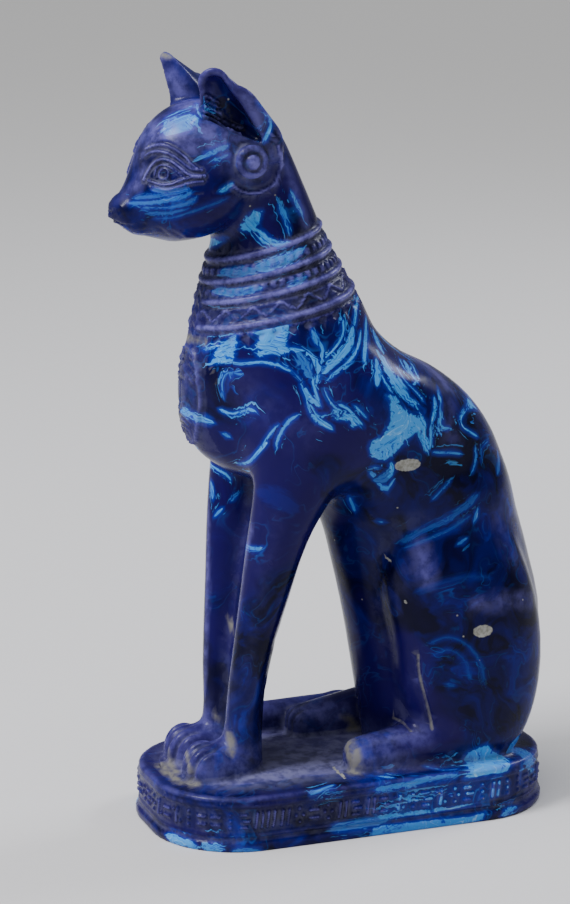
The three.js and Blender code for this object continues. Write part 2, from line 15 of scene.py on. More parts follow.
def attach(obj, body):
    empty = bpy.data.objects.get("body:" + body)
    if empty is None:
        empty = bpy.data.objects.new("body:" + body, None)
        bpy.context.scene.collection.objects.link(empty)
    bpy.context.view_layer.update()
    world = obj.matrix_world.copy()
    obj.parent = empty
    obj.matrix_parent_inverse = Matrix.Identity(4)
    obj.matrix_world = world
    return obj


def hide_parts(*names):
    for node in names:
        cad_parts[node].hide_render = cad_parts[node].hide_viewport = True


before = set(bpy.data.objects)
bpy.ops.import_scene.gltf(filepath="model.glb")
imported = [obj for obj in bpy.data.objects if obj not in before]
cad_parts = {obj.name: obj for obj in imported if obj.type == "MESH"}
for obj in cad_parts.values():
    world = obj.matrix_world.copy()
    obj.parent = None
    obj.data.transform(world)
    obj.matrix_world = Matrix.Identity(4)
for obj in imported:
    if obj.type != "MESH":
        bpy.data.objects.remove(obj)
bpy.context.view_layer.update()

bl_info = {
    "name": "Marbled Seated Cat",
    "version": (1, 0, 0),
    "blender": (4, 5, 0),
    "location": "View3D > Sidebar > Seated Cat",
    "description": "Builds a seated cat figure cast in marbled imitation lapis",
    "category": "Add Mesh",
}

MM = 0.001
# A distance, in mm, that is farther than any that matters.
FAR_OFF = 1e3

# Camera of the photograph: picture size and focal length in pixels, place and angles in mm and degrees.
PHOTO_SIZE = (570, 904)
FOCAL_PIXELS = 2800.0
VIEW_AZIMUTH = 69.5
VIEW_RISE = 12.9
VIEW_DISTANCE = 864.0
VIEW_TARGET = np.array([0.0, -18.6, 116.0])
SENSOR = 36.0

# Plinth: a slab with round ends, a framed band and a foot.
PLINTH_LENGTH = 130.0
PLINTH_WIDTH = 67.0
PLINTH_CORNER = 27.5
PLINTH_HEIGHT = 16.8
PLINTH_CROWN = 1.5
# Edge profile from the underside up: height, inset from the full outline.
PLINTH_PROFILE = np.array([
    (0, 0.35), (0.8, 0), (2.5, 0), (3.4, 1.1), (4.2, 1.3), (5, 0.5), (5.9, 1.2),
    (13.4, 1.2), (14.2, 0.5), (15.2, 1.2), (16, 0.9), (18, 0.9),
])
# Level inside the plinth that the limbs run down to, and how high the plinth's own form is worked out.
BURIED = 13.0
PLINTH_REACH = 40.0

# Trunk and neck, as level sections: height, front, back, half width.
TRUNK = np.array([
    (BURIED, 9, 45, 16), (18, 8.5, 49.5, 18), (24, 8, 55.5, 21), (31, 7, 62.3, 23.5),
    (40, 5.5, 66.3, 24.5), (60, 2, 66.3, 24.5), (80, -2.5, 62, 24.5), (95, -7, 57.5, 25.5),
    (105, -19, 55, 26.5), (112, -38, 52.5, 27), (120, -47.5, 49, 28), (131, -51.5, 41, 29.5),
    (140, -51.3, 30, 29.5), (147, -50.2, 17, 28.5), (155, -48.5, 8.5, 27), (164, -46.5, 4, 24.5),
    (174, -44, -2, 20.5), (185, -41, -7.8, 17.5), (198, -38, -13.6, 16), (212, -37, -20.2, 15),
    (222, -37, -25.5, 13),
])
TRUNK_EGG = 0.14
NECK_TOP = 226.0
NECK_ROUND = 12.0

# Forelegs and shoulders: height, side, fore-and-aft place, half width, half depth.
FORELEG = np.array([
    (BURIED, 9, -37, 5.4, 6.5), (24, 9.3, -37, 5.2, 6.3), (36, 10.5, -36.6, 4.8, 5.3),
    (45, 12, -36.2, 4.9, 5.4), (58, 13.9, -34.6, 5.3, 6), (74, 16, -31.7, 6.2, 7.5),
    (93, 18.5, -28, 7.6, 9.6), (108, 20, -23, 8.8, 13), (122, 20, -17, 10.2, 18),
    (135, 18.5, -13, 11, 20), (148, 15, -11, 10.5, 17), (158, 12, -12, 9, 14),
])
SHOULDER_TOP = 150.0
SHOULDER_ROUND = 14.0
WEB_TOP = 112.0
WEB_BEHIND = 3.6
WEB_HALF = 2.8

# Paws, haunches, knees and hind feet of one side; the other is its mirror image.
PAW_CENTRE = (9.2, -43.3, 19)
PAW_RADII = (8.2, 11.2, 9.3)
TOE_COUNT = 4
TOE_PITCH = 4.2
TOE_REACH = -49.5
TOE_SWEEP = 1.3
TOE_RADII = (2.5, 6.3, 7.9)

HAUNCH_CENTRE = (18.5, 35.8, 54)
HAUNCH_RADII = (13, 24.5, 43)
HAUNCH_LEAN = 0.06
KNEE_CENTRE = (18, 20, 79)
KNEE_RADII = (8.6, 12, 19)
HIND_FOOT_SIDE = 18.5
HIND_FOOT_LEVEL = 21.0
HIND_HEEL = (20, 26, 25)
HIND_FOOT_RADII = (6.3, 7.4)
HIND_TOE_LEFT = -6.5
HIND_TOE_RIGHT = -12.0

TAIL_ROUTE = [
    (2, 55, 26), (-12, 53, 23), (-21.5, 44, 22), (-26.8, 30, 21.8), (-27.7, 10, 21.8), (-27.7, -31, 21.4),
]
TAIL_RADII = (6.0, 5.0)

SKULL_CENTRE = (0, -45, 206.6)
SKULL_RADII = (17.4, 20.4, 19.2)
MUZZLE_BACK = (0, -57.5, 196.2)
MUZZLE_TIP = (0, -69.2, 193.8)
MUZZLE_RADII = (11.2, 4.8)
MUZZLE_BROAD = 1.4
CHIN_BACK = (0, -57, 191)
CHIN_TIP = (0, -65.2, 190.3)
CHIN_RADII = (6.5, 4.3)
CHEEK_CENTRE = (9, -50, 196.3)
CHEEK_RADII = (8.5, 12, 9.3)

EAR_FOOT = (11.6, -50.6, 222)
EAR_TURN = 0.42
EAR_FLARE = 0.24
EAR_LEAN = 0.13
EAR_DEPTH = 8.0
EAR_RIM = 2.3
EAR_DOME = 9.7
EAR_BOWL = 5.6
EAR_SUNK = 4.6
EAR_FLOOR_DROP = 0.46
EAR_ROOT = 14.0
# Circles that each ear's outline and its hollow run round: across, up, radius. The left tip is worn round.
EAR_LEFT = [(5.6, 9.4, 4.9), (9.9, 0, 9.6), (15.5, -8.5, 9.8)]
EAR_RIGHT = [(0.9, 14.4, 2.2), (9.3, 0, 10.2), (15.5, -8.5, 9.8)]
EAR_LEFT_HOLLOW = [(5.9, 9, 3), (8.6, 0, 5.9), (14.3, -8, 4.8)]
EAR_RIGHT_HOLLOW = [(2.4, 12, 1.2), (8.6, 0, 5.9), (14.3, -8, 4.8)]

EARRING_CENTRE = (17.2, -35.5, 208.5)
EARRING_RADIUS = 5.0
EARRING_BUTTON = 2.2
EARRING_STANDS = 1.4
EARRING_SUNK = 4.0

# Level above which the head, ears and earrings are worked out.
HEAD_FROM = 170.0

# How widely neighbouring forms run into each other, in mm.
BLEND = {
    "plinth_edge": 1.6, "web": 3, "toe": 1, "pad": 2, "knee": 10, "hind_foot": 3, "blunt_toe": 3,
    "tail": 2, "chin": 3, "muzzle": 10, "cheek": 6, "button": 0.6, "haunch": 3.5, "foreleg": 9,
    "paw": 3, "tail_root": 1.5, "head": 6, "ear": 3, "ear_hollow": 1, "earring": 0.6, "plinth": 1.2,
}

# Collar ridges, the top one first: height at the front of the neck and tilt.
COLLAR_FRONT = -45.0
COLLAR_RIDGES = [(177.0, 0.31), (171.0, 0.27), (165.4, 0.245), (158.2, 0.235)]


def smooth_min(a, b, k):
    """The lesser of two distances, rounded where they are within k of each other."""
    h = np.maximum(k - np.abs(a - b), 0) / k
    return np.minimum(a, b) - h * h * k / 4


def smooth_max(a, b, k):
    """The greater of two distances, rounded in the same way."""
    return -smooth_min(-a, -b, k)


def section_table(rows):
    """Reads rows of values at a key, with a monotone cubic through each column."""
    keys, columns = rows[:, 0], rows[:, 1:]
    spans = np.diff(keys)[:, None]
    secants = np.diff(columns, axis=0) / spans
    slopes = np.zeros_like(columns)
    before, after = secants[:-1], secants[1:]
    same = before * after > 0
    total = np.where(same, before + after, 1)
    slopes[1:-1] = np.where(same, 2 * before * after / total, 0)

    def read(key):
        key = np.clip(key, keys[0], keys[-1])
        i = np.clip(np.searchsorted(keys, key, side="right") - 1, 0, len(keys) - 2)
        span = spans[i]
        t = ((key - keys[i]) / span[:, 0])[:, None]
        near = (1 + 2 * t) * (1 - t) ** 2
        far = t * t * (3 - 2 * t)
        bend = span * (t * (1 - t) ** 2 * slopes[i] - t * t * (1 - t) * slopes[i + 1])
        return (near * columns[i] + far * columns[i + 1] + bend).T

    return read


trunk_at = section_table(TRUNK)
foreleg_at = section_table(FORELEG)


def ellipsoid(dx, dy, dz, radii):
    """Near-distance to an ellipsoid, from the offset to its centre."""
    rx, ry, rz = radii
    k0 = np.sqrt((dx / rx) ** 2 + (dy / ry) ** 2 + (dz / rz) ** 2)
    k1 = np.sqrt((dx / rx ** 2) ** 2 + (dy / ry ** 2) ** 2 + (dz / rz ** 2) ** 2)
    return np.where(k1 < 1e-9, -min(radii), k0 * (k0 - 1) / np.maximum(k1, 1e-9))


def ellipse(dx, dy, rx, ry):
    """Near-distance to an ellipse, from the offset to its middle."""
    k0 = np.sqrt((dx / rx) ** 2 + (dy / ry) ** 2)
    k1 = np.sqrt((dx / rx ** 2) ** 2 + (dy / ry ** 2) ** 2)
    return np.where(k1 < 1e-9, -np.minimum(rx, ry), k0 * (k0 - 1) / np.maximum(k1, 1e-9))


def tapered_rod(x, y, z, a, b, radii):
    """Distance to a straight capsule whose radius changes from one end to the other."""
    d = np.subtract(b, a).astype(float)
    qx, qy, qz = x - a[0], y - a[1], z - a[2]
    t = np.clip((qx * d[0] + qy * d[1] + qz * d[2]) / d.dot(d), 0, 1)
    off = np.sqrt((qx - t * d[0]) ** 2 + (qy - t * d[1]) ** 2 + (qz - t * d[2]) ** 2)
    return off - (radii[0] + t * (radii[1] - radii[0]))


def plinth_outline(x, y):
    """Distance out from the plinth's full outline."""
    qx = np.abs(x) - (PLINTH_WIDTH / 2 - PLINTH_CORNER)
    qy = np.abs(y) - (PLINTH_LENGTH / 2 - PLINTH_CORNER)
    outside = np.hypot(np.maximum(qx, 0), np.maximum(qy, 0))
    return outside + np.minimum(np.maximum(qx, qy), 0) - PLINTH_CORNER


def plinth(x, y, z):
    out = plinth_outline(x, y)
    side = out + np.interp(z, PLINTH_PROFILE[:, 0], PLINTH_PROFILE[:, 1])
    share = np.clip((out + PLINTH_CORNER) / PLINTH_CORNER, 0, 1)
    top = z - PLINTH_HEIGHT - PLINTH_CROWN * (1 - share ** 2)
    return np.maximum(smooth_max(side, top, BLEND["plinth_edge"]), -z)


def trunk(x, y, z):
    front, back, half = trunk_at(z)
    middle, reach = (front + back) / 2, (back - front) / 2
    along = np.clip((y - middle) / reach, -1, 1)
    body = ellipse(x, y - middle, half * (1 + TRUNK_EGG * along), reach)
    return np.maximum(smooth_max(body, z - NECK_TOP, NECK_ROUND), BURIED - z)


def forelegs(side, y, z):
    out, place, rx, ry = foreleg_at(z)
    leg = smooth_max(ellipse(side - out, y - place, rx, ry), z - SHOULDER_TOP, SHOULDER_ROUND)
    web = np.maximum(np.maximum(side - out, np.abs(y - place - WEB_BEHIND) - WEB_HALF), z - WEB_TOP)
    return np.maximum(smooth_min(leg, web, BLEND["web"]), BURIED - z)


def forepaw(side, y, z):
    rise = np.maximum(z - PAW_CENTRE[2], 0)
    paw = ellipsoid(side - PAW_CENTRE[0], y - PAW_CENTRE[1], rise, PAW_RADII)
    toes = np.full_like(side, FAR_OFF)
    for i in range(TOE_COUNT):
        off = i - (TOE_COUNT - 1) / 2
        dy = y - TOE_REACH - TOE_SWEEP * abs(off)
        toe = ellipsoid(side - PAW_CENTRE[0] - off * TOE_PITCH, dy, rise, TOE_RADII)
        toes = smooth_min(toes, toe, BLEND["toe"])
    return np.maximum(smooth_min(paw, toes, BLEND["pad"]), BURIED - z)


def hindquarter(side, y, z, toe_front):
    rise = np.maximum(z, PLINTH_HEIGHT) - HAUNCH_CENTRE[2]
    haunch = ellipsoid(side - HAUNCH_CENTRE[0], y - HAUNCH_CENTRE[1] + HAUNCH_LEAN * rise,
                       rise, HAUNCH_RADII)
    knee = ellipsoid(side - KNEE_CENTRE[0], y - KNEE_CENTRE[1], z - KNEE_CENTRE[2], KNEE_RADII)
    level = np.maximum(z, HIND_FOOT_LEVEL)
    feet = []
    for front in (HIND_TOE_LEFT, HIND_TOE_RIGHT):
        toe = (HIND_FOOT_SIDE, front + HIND_FOOT_RADII[0], HIND_FOOT_LEVEL)
        feet.append(tapered_rod(side, y, level, toe, HIND_HEEL, HIND_FOOT_RADII))
    foot = np.where(toe_front == HIND_TOE_LEFT, *feet)
    blunt = smooth_max(foot, toe_front - y, BLEND["blunt_toe"])
    leg = smooth_min(smooth_min(haunch, knee, BLEND["knee"]), blunt, BLEND["hind_foot"])
    return np.maximum(leg, BURIED - z)


def tail(x, y, z):
    last = len(TAIL_ROUTE) - 1
    level = np.maximum(z, TAIL_ROUTE[last][2])
    nearest = np.full_like(x, FAR_OFF)
    for i in range(last):
        radii = [TAIL_RADII[0] + (TAIL_RADII[1] - TAIL_RADII[0]) * k / last for k in (i, i + 1)]
        stretch = tapered_rod(x, y, level, TAIL_ROUTE[i], TAIL_ROUTE[i + 1], radii)
        nearest = smooth_min(nearest, stretch, BLEND["tail"])
    return np.maximum(nearest, BURIED - z)


def leaf(across, up, circles):
    """Distance on an ear's face to the outline that runs round a row of circles."""
    flat = np.zeros_like(across)
    rods = [tapered_rod(across, up, flat, (a[0], a[1], 0), (b[0], b[1], 0), (a[2], b[2]))
            for a, b in zip(circles, circles[1:])]
    return np.minimum(*rods)


def ear(side, y, z, outline, opening):
    """An ear's shell and the hollow that is taken out of it."""
    c, s = math.cos(EAR_TURN), math.sin(EAR_TURN)
    up = z - EAR_FOOT[2]
    dx = side - EAR_FOOT[0] - EAR_FLARE * up
    dy = y - EAR_FOOT[1] + EAR_LEAN * up
    across, inward = dx * s + dy * c, dy * s - dx * c

    def domed(edge, half, depth):
        within = np.maximum(1 + edge / half, 0)
        return (np.hypot(within, np.maximum(inward, 0) / depth) - 1) * min(half, depth)

    shell = smooth_max(domed(leaf(across, up, outline), EAR_DOME, EAR_DEPTH), -inward, EAR_RIM / 2)
    bowl = domed(leaf(across, up, opening), EAR_BOWL, EAR_SUNK)
    hollow = smooth_max(bowl, -(up + EAR_FLOOR_DROP * across), EAR_RIM)
    return np.maximum(shell, -EAR_ROOT - up), hollow


def earring(side, y, z):
    cx, cy, cz = EARRING_CENTRE
    disc = np.maximum(np.hypot(y - cy, z - cz) - EARRING_RADIUS, side - cx - EARRING_STANDS)
    button = ellipsoid(side - cx - EARRING_STANDS, y - cy, z - cz,
                       (EARRING_STANDS, EARRING_BUTTON, EARRING_BUTTON))
    return np.maximum(smooth_min(disc, button, BLEND["button"]), cx - EARRING_SUNK - side)


def head(x, y, z):
    side = np.abs(x)
    skull = ellipsoid(x, y - SKULL_CENTRE[1], z - SKULL_CENTRE[2], SKULL_RADII)
    muzzle = tapered_rod(x / MUZZLE_BROAD, y, z, MUZZLE_BACK, MUZZLE_TIP, MUZZLE_RADII)
    cheek = ellipsoid(side - CHEEK_CENTRE[0], y - CHEEK_CENTRE[1], z - CHEEK_CENTRE[2], CHEEK_RADII)
    chin = tapered_rod(x / MUZZLE_BROAD, y, z, CHIN_BACK, CHIN_TIP, CHIN_RADII)
    snout = smooth_min(muzzle, chin, BLEND["chin"])
    return smooth_min(smooth_min(skull, snout, BLEND["muzzle"]), cheek, BLEND["cheek"])


def cat_form(points):
    """Signed near-distance to the cat and its plinth: under zero inside."""
    x, y, z = points.T
    side = np.abs(x)
    toe_front = np.where(x > 0, HIND_TOE_LEFT, HIND_TOE_RIGHT)
    form = smooth_min(trunk(x, y, z), hindquarter(side, y, z, toe_front), BLEND["haunch"])
    form = smooth_min(form, forelegs(side, y, z), BLEND["foreleg"])
    form = smooth_min(form, forepaw(side, y, z), BLEND["paw"])
    form = smooth_min(form, tail(x, y, z), BLEND["tail_root"])
    low = z < PLINTH_REACH
    form[low] = smooth_min(form[low], plinth(x[low], y[low], z[low]), BLEND["plinth"])
    high = z > HEAD_FROM
    hx, hy, hz, hs = x[high], y[high], z[high], side[high]
    upper = smooth_min(form[high], head(hx, hy, hz), BLEND["head"])
    left = ear(hs, hy, hz, EAR_LEFT, EAR_LEFT_HOLLOW)
    right = ear(hs, hy, hz, EAR_RIGHT, EAR_RIGHT_HOLLOW)
    shell, hollow = (np.where(hx > 0, a, b) for a, b in zip(left, right))
    upper = smooth_min(upper, shell, BLEND["ear"])
    upper = smooth_max(upper, -hollow, BLEND["ear_hollow"])
    form[high] = smooth_min(upper, earring(hs, hy, hz), BLEND["earring"])
    return form


def slope_of(form, points, step=0.05):
    """Gradient of a form at points."""
    slopes = np.empty_like(points)
    for axis in range(3):
        shift = np.zeros(3)
        shift[axis] = step
        slopes[:, axis] = (form(points + shift) - form(points - shift)) / (2 * step)
    return slopes


def settle(form, points, passes=3, reach=1.2):
    """Moves points onto a form's surface."""
    start = points.copy()
    for _ in range(passes):
        slopes = slope_of(form, points)
        steep = np.maximum((slopes ** 2).sum(1), 1e-3)
        points = points - slopes * (form(points) / steep)[:, None]
        points = start + np.clip(points - start, -reach, reach)
    return points


def grid_lines(runs):
    """Where a grid's lines lie on one axis."""
    lines = [np.linspace(low, high, round((high - low) / step), endpoint=False) for low, high, step in runs]
    return np.concatenate(lines + [[runs[-1][1]]])


# Runs of grid lines on each axis: from, to and step, in mm.
GRID_X = [(-39, -21, 1.6), (-21, 21, 1.2), (21, 39, 1.6)]
GRID_Y = [(-78, -24, 1.25), (-24, 72, 1.7)]
GRID_Z = [(-2.2, 33, 1.3), (33, 150, 1.9), (150, 185, 1.3), (185, 243, 1.15)]
# Share of all triangles that is left once the coarse places are thinned.
THIN_SHARE = 0.36

# Longest mesh edges in mm, by place. Where they are no longer than the even one, nothing is thinned.
EDGE = {
    "plain": 4.4, "even": 1.6, "marbled": 2.7, "groove": 0.75, "chip": 0.8, "head": 2.3, "feet": 2.0,
    "forepaws": 1.0, "hind_toes": 1.2, "collar": 0.95, "pendant": 0.95, "eyes": 0.62, "earrings": 0.95,
    "cheeks": 1.35, "ears": 1.3, "near_ear": 0.8, "band": 0.82, "plinth_foot": 1.5, "plinth_shoulder": 1.5,
}
REFINE_PASSES = 6
MOST_TRIANGLES = 200000


def surface_net(form, xs, ys, zs):
    """Meshes a form on a grid: a vertex in each crossed cell and two triangles for each crossed edge."""
    shape = (len(xs), len(ys), len(zs))
    nodes = np.stack(np.meshgrid(xs, ys, zs, indexing="ij"), -1)
    values = np.concatenate([form(slab.reshape(-1, 3)) for slab in nodes]).reshape(shape)
    inside = values < 0
    cells = tuple(n - 1 for n in shape)
    total = np.zeros(cells + (3,))
    count = np.zeros(cells)
    quads = []
    steps = np.eye(3, dtype=int)
    for axis in range(3):
        # The nodes at the lower and the upper end of each edge along the axis.
        low, high = (tuple(part if n == axis else slice(None) for n in range(3))
                     for part in (slice(0, -1), slice(1, None)))
        crossed = inside[low] != inside[high]
        a, b = values[low][crossed], values[high][crossed]
        t = (a / (a - b))[:, None]
        place = nodes[low][crossed] * (1 - t) + nodes[high][crossed] * t
        u, v = steps[(axis + 1) % 3], steps[(axis + 2) % 3]
        ring = [np.argwhere(crossed) - back for back in (0 * u, u, u + v, v)]
        for cell in ring:
            np.add.at(total, tuple(cell.T), place)
            np.add.at(count, tuple(cell.T), 1)
        ring = np.stack(ring, 1)
        inward = ~inside[low][crossed]
        ring[inward] = ring[inward][:, ::-1]
        quads.append(ring)
    quads = np.concatenate(quads)
    number = np.full(cells, -1)
    used = count > 0
    number[used] = np.arange(used.sum())
    points = total[used] / count[used][:, None]
    quads = number[tuple(np.moveaxis(quads, -1, 0))]
    points = settle(form, points, passes=4, reach=0.7)
    gaps = [np.linalg.norm(points[quads[:, i]] - points[quads[:, i + 2]], axis=1) for i in (0, 1)]
    first = (gaps[0] <= gaps[1])[:, None]
    one = np.where(first, quads[:, [0, 1, 2]], quads[:, [1, 2, 3]])
    two = np.where(first, quads[:, [0, 2, 3]], quads[:, [1, 3, 0]])
    return points, np.concatenate([one, two])


def refine(form, points, faces, wanted):
    """Splits the edges that are longer than wanted at their middles."""
    sides = np.sort(np.stack([faces, np.roll(faces, -1, 1)], -1), -1)
    edges, which = np.unique(sides.reshape(-1, 2), axis=0, return_inverse=True)
    which = which.reshape(-1, 3)
    ends = points[edges]
    middle = ends.mean(1)
    split = np.linalg.norm(ends[:, 0] - ends[:, 1], axis=1) > wanted(middle)
    new = np.full(len(edges), -1)
    new[split] = len(points) + np.arange(split.sum())
    grown = np.concatenate([points, settle(form, middle[split], passes=2, reach=0.8)])
    cuts = split[which]
    result = [faces[~cuts.any(1)]]

    def add(*corners):
        result.append(np.stack(corners, 1))

    def corners_and_middles(chosen, order):
        return faces[chosen][:, order].T, new[which[chosen]][:, order].T

    (a, b, c), (ab, bc, ca) = corners_and_middles(cuts.all(1), [0, 1, 2])
    for triangle in ((a, ab, ca), (ab, b, bc), (ca, bc, c), (ab, bc, ca)):
        add(*triangle)
    for i in range(3):
        j, k = (i + 1) % 3, (i + 2) % 3
        (a, b, c), (ab, _, _) = corners_and_middles(cuts[:, i] & ~cuts[:, j] & ~cuts[:, k], [i, j, k])
        add(a, ab, c)
        add(ab, b, c)
        (a, b, c), (ab, bc, _) = corners_and_middles(cuts[:, i] & cuts[:, j] & ~cuts[:, k], [i, j, k])
        add(ab, b, bc)
        # The four-sided rest is parted along its shorter diagonal.
        diagonals = [np.linalg.norm(grown[p] - grown[q], axis=1) for p, q in ((a, bc), (ab, c))]
        short = diagonals[0] <= diagonals[1]
        add(a, ab, np.where(short, bc, c))
        add(np.where(short, a, ab), bc, c)
    return grown, np.concatenate(result)


def thin(points, faces, coarse, share):
    """Takes triangles out of the coarse places until a share of all of them is left."""
    mesh = bpy.data.meshes.new("thinning")
    mesh.from_pydata(points.tolist(), [], faces.tolist())
    holder = bpy.data.objects.new("thinning", mesh)
    bpy.context.scene.collection.objects.link(holder)
    group = holder.vertex_groups.new(name="coarse")
    group.add(np.flatnonzero(coarse).tolist(), 1.0, "REPLACE")
    fewer = holder.modifiers.new("fewer", "DECIMATE")
    fewer.ratio = share
    fewer.vertex_group = group.name
    fewer.use_collapse_triangulate = True
    thinned = holder.evaluated_get(bpy.context.evaluated_depsgraph_get()).to_mesh()
    places = np.empty(len(thinned.vertices) * 3)
    thinned.vertices.foreach_get("co", places)
    corners = np.empty(len(thinned.loops), int)
    thinned.loops.foreach_get("vertex_index", corners)
    holder.to_mesh_clear()
    bpy.data.objects.remove(holder)
    bpy.data.meshes.remove(mesh)
    return places.reshape(-1, 3), corners.reshape(-1, 3)


# The photograph's camera, as an eye point and three directions.
_azimuth, _rise = math.radians(VIEW_AZIMUTH), math.radians(VIEW_RISE)
VIEW_BACK = np.array([math.sin(_azimuth) * math.cos(_rise), -math.cos(_azimuth) * math.cos(_rise),
                      math.sin(_rise)])
VIEW_RIGHT = np.array([math.cos(_azimuth), math.sin(_azimuth), 0.0])
VIEW_UP = np.cross(VIEW_BACK, VIEW_RIGHT)
VIEW_EYE = VIEW_TARGET + VIEW_DISTANCE * VIEW_BACK
# What a pixel of the photograph spans at the cat, in mm.
PIXEL = VIEW_DISTANCE / FOCAL_PIXELS
MIDDLE_PIXEL = (PHOTO_SIZE[0] / 2, PHOTO_SIZE[1] / 2)
MIRROR = np.array([-1.0, 1.0, 1.0])


def curve_through(places, step=3.0):
    """Places of the photograph along a smooth curve, a few pixels apart."""
    places = np.array(places, float)
    ends = np.vstack([2 * places[0] - places[1], places, 2 * places[-1] - places[-2]])
    path = []
    for a, b, c, d in zip(ends[:-3], ends[1:-2], ends[2:-1], ends[3:]):
        count = max(2, int(np.linalg.norm(c - b) / step))
        t = (np.arange(count) / count)[:, None]
        path.append(0.5 * (2 * b + (c - a) * t + (2 * a - 5 * b + 4 * c - d) * t ** 2
                           + (3 * b - a - 3 * c + d) * t ** 3))
    return np.vstack(path + [places[-1:]])


def on_surface(tree, places):
    """Where places of the photograph lie on the cat, in millimetres."""
    found = []
    for across, down in places:
        ray = VIEW_RIGHT * (across - MIDDLE_PIXEL[0]) - VIEW_UP * (down - MIDDLE_PIXEL[1])
        hit = tree.ray_cast(Vector(VIEW_EYE), Vector(ray / FOCAL_PIXELS - VIEW_BACK))[0]
        if hit is not None:
            found.append(hit)
    return np.array(found, float).reshape(-1, 3)


# How many of its own lengths a path's first and last span are followed past its ends.
END_SPANS = 9


def along_path(points, path, reach):
    """Points within reach of a path: which they are, how far off it and along it they lie, the gap
    from it to each, its direction there, and its whole length."""
    near = np.flatnonzero(((points > path.min(0) - reach) & (points < path.max(0) + reach)).all(1))
    close = points[near]
    off = np.full(len(near), FAR_OFF)
    along = np.zeros(len(near))
    way = np.zeros((len(near), 3))
    gap = np.zeros((len(near), 3))
    run, last = 0.0, len(path) - 2
    for number, (a, b) in enumerate(zip(path[:-1], path[1:])):
        d = b - a
        length = max(np.linalg.norm(d), 1e-6)
        t = (close - a) @ d / length ** 2
        step = close - a - np.clip(t, 0, 1)[:, None] * d
        far = np.linalg.norm(step, axis=1)
        nearer = far < off
        off[nearer] = far[nearer]
        past = np.clip(t, -END_SPANS if number == 0 else 0, END_SPANS if number == last else 1)
        along[nearer] = (run + past * length)[nearer]
        way[nearer] = d / length
        gap[nearer] = step[nearer]
        run += length
    return near, off, along, gap, way, run


def in_picture(points):
    """Places of the photograph that points in millimetres are seen at."""
    d = points - VIEW_EYE
    scale = -FOCAL_PIXELS / (d @ VIEW_BACK)
    across, down = MIDDLE_PIXEL[0] + scale * (d @ VIEW_RIGHT), MIDDLE_PIXEL[1] - scale * (d @ VIEW_UP)
    return np.stack([across, down], 1)


def inside_outline(places, outline):
    """How far places lie inside a closed outline, under nought outside."""
    outline = np.array(outline, float)
    off = np.full(len(places), FAR_OFF)
    within = np.zeros(len(places), bool)
    for a, b in zip(outline, np.roll(outline, -1, 0)):
        d = b - a
        t = np.clip((places - a) @ d / (d @ d), 0, 1)
        off = np.minimum(off, np.linalg.norm(places - a - t[:, None] * d, axis=1))
        spans = (a[1] > places[:, 1]) != (b[1] > places[:, 1])
        crossing = a[0] + d[0] * (places[:, 1] - a[1]) / (d[1] if d[1] else 1e-9)
        within ^= spans & (places[:, 0] < crossing)
    return np.where(within, off, -off)


def distance_to(points, path, reach):
    """Distance of points to a path, as far as reach."""
    nearest = np.full(len(points), reach, float)
    near, off = along_path(points, path, reach)[:2]
    nearest[near] = np.minimum(off, reach)
    return nearest


# A fold's width at its tips, as a share of its full width, and how many half widths it takes to reach that.
FOLD_TIP = 0.3
FOLD_TAPER = 2.5
# How far on, in mm, each fold starts in the strands' pattern, so that no two are alike.
FOLD_APART = 37.0


def fold_width(half, along, run):
    """Half width of a fold at a distance along it: narrower toward both ends, under nought past them."""
    inner = np.minimum(along, run - along)
    swell = np.sqrt(np.clip(inner / (FOLD_TAPER * half), 0, 1))
    return np.where(inner > 0, half * (FOLD_TIP + (1 - FOLD_TIP) * swell), FOLD_TIP * half + inner)


# Carved lines of the head's left side, by their places in the photograph: half width and height of
# the line in mm, then the places. The right side has them too.
FACE_LINES = {
    "brow_top": (0.4, 0.6, [(146, 149), (155, 145.5), (164, 145), (172, 148), (180, 153), (187, 159),
                           (192, 165), (197, 168)]),
    "brow_low": (0.4, 0.6, [(146, 156), (151, 152.5), (159, 151.5), (168, 153.5), (177, 158.5),
                           (185, 165), (193, 169.5), (202, 170)]),
    "lid_outer": (0.44, 0.7, [(144, 180), (148, 172), (153, 164.5), (159, 160), (166, 159.5), (174, 163),
                             (182, 169.5), (190, 175), (205, 176)]),
    "eye_top": (0.34, 0.5, [(155, 175), (157, 168), (162, 165), (168, 166), (176, 171), (184, 177.5)]),
    "lid_low": (0.4, 0.6, [(148, 180.5), (156, 183.5), (164, 185), (173, 184), (181, 180.5), (190, 178),
                          (200, 177.5)]),
    "lid_below": (0.4, 0.5, [(153, 186.5), (160, 189), (169, 189.5), (179, 186.5), (190, 183), (203, 181)]),
    "forehead_one": (0.32, 0.3, [(146, 141), (151, 134), (158, 128)]),
    "forehead_two": (0.32, 0.3, [(150, 143), (156, 135), (164, 128)]),
    "lobe": (0.6, 0.65, [(232, 185), (239, 190), (247, 192.5), (257, 192.5), (267, 189), (275, 183),
                        (279, 173), (281, 162), (280, 151), (277, 142), (270, 133)]),
    "lobe_back": (0.35, 0.3, [(273, 196), (281, 200), (286, 207)]),
    "mouth": (0.42, -0.55, [(112, 219), (118, 222), (124, 225), (133, 226), (146, 224)]),
    "lip": (0.4, 0.3, [(125, 228), (132, 231.5), (145, 232.5), (160, 231)]),
    "nostril": (0.5, -0.6, [(110, 213), (114, 210), (119, 211)]),
    "nose_side": (0.5, -0.35, [(110, 217), (117, 215), (121, 211)]),
}
# Depth of the dent beside each line, as a share of the line's height.
LINE_SHOULDER = 0.35
# The iris: its place in the photograph, its radius and how far its ring and its disc stand out.
IRIS_PLACE = (164, 174)
IRIS_RADIUS = 1.7
IRIS_RING = 0.35
IRIS_STANDS = 0.2
# Turned lines on the earrings: radius, height and half width.
EARRING_LINES = [(3.9, 0.4, 0.6), (2.8, -0.55, 0.4)]
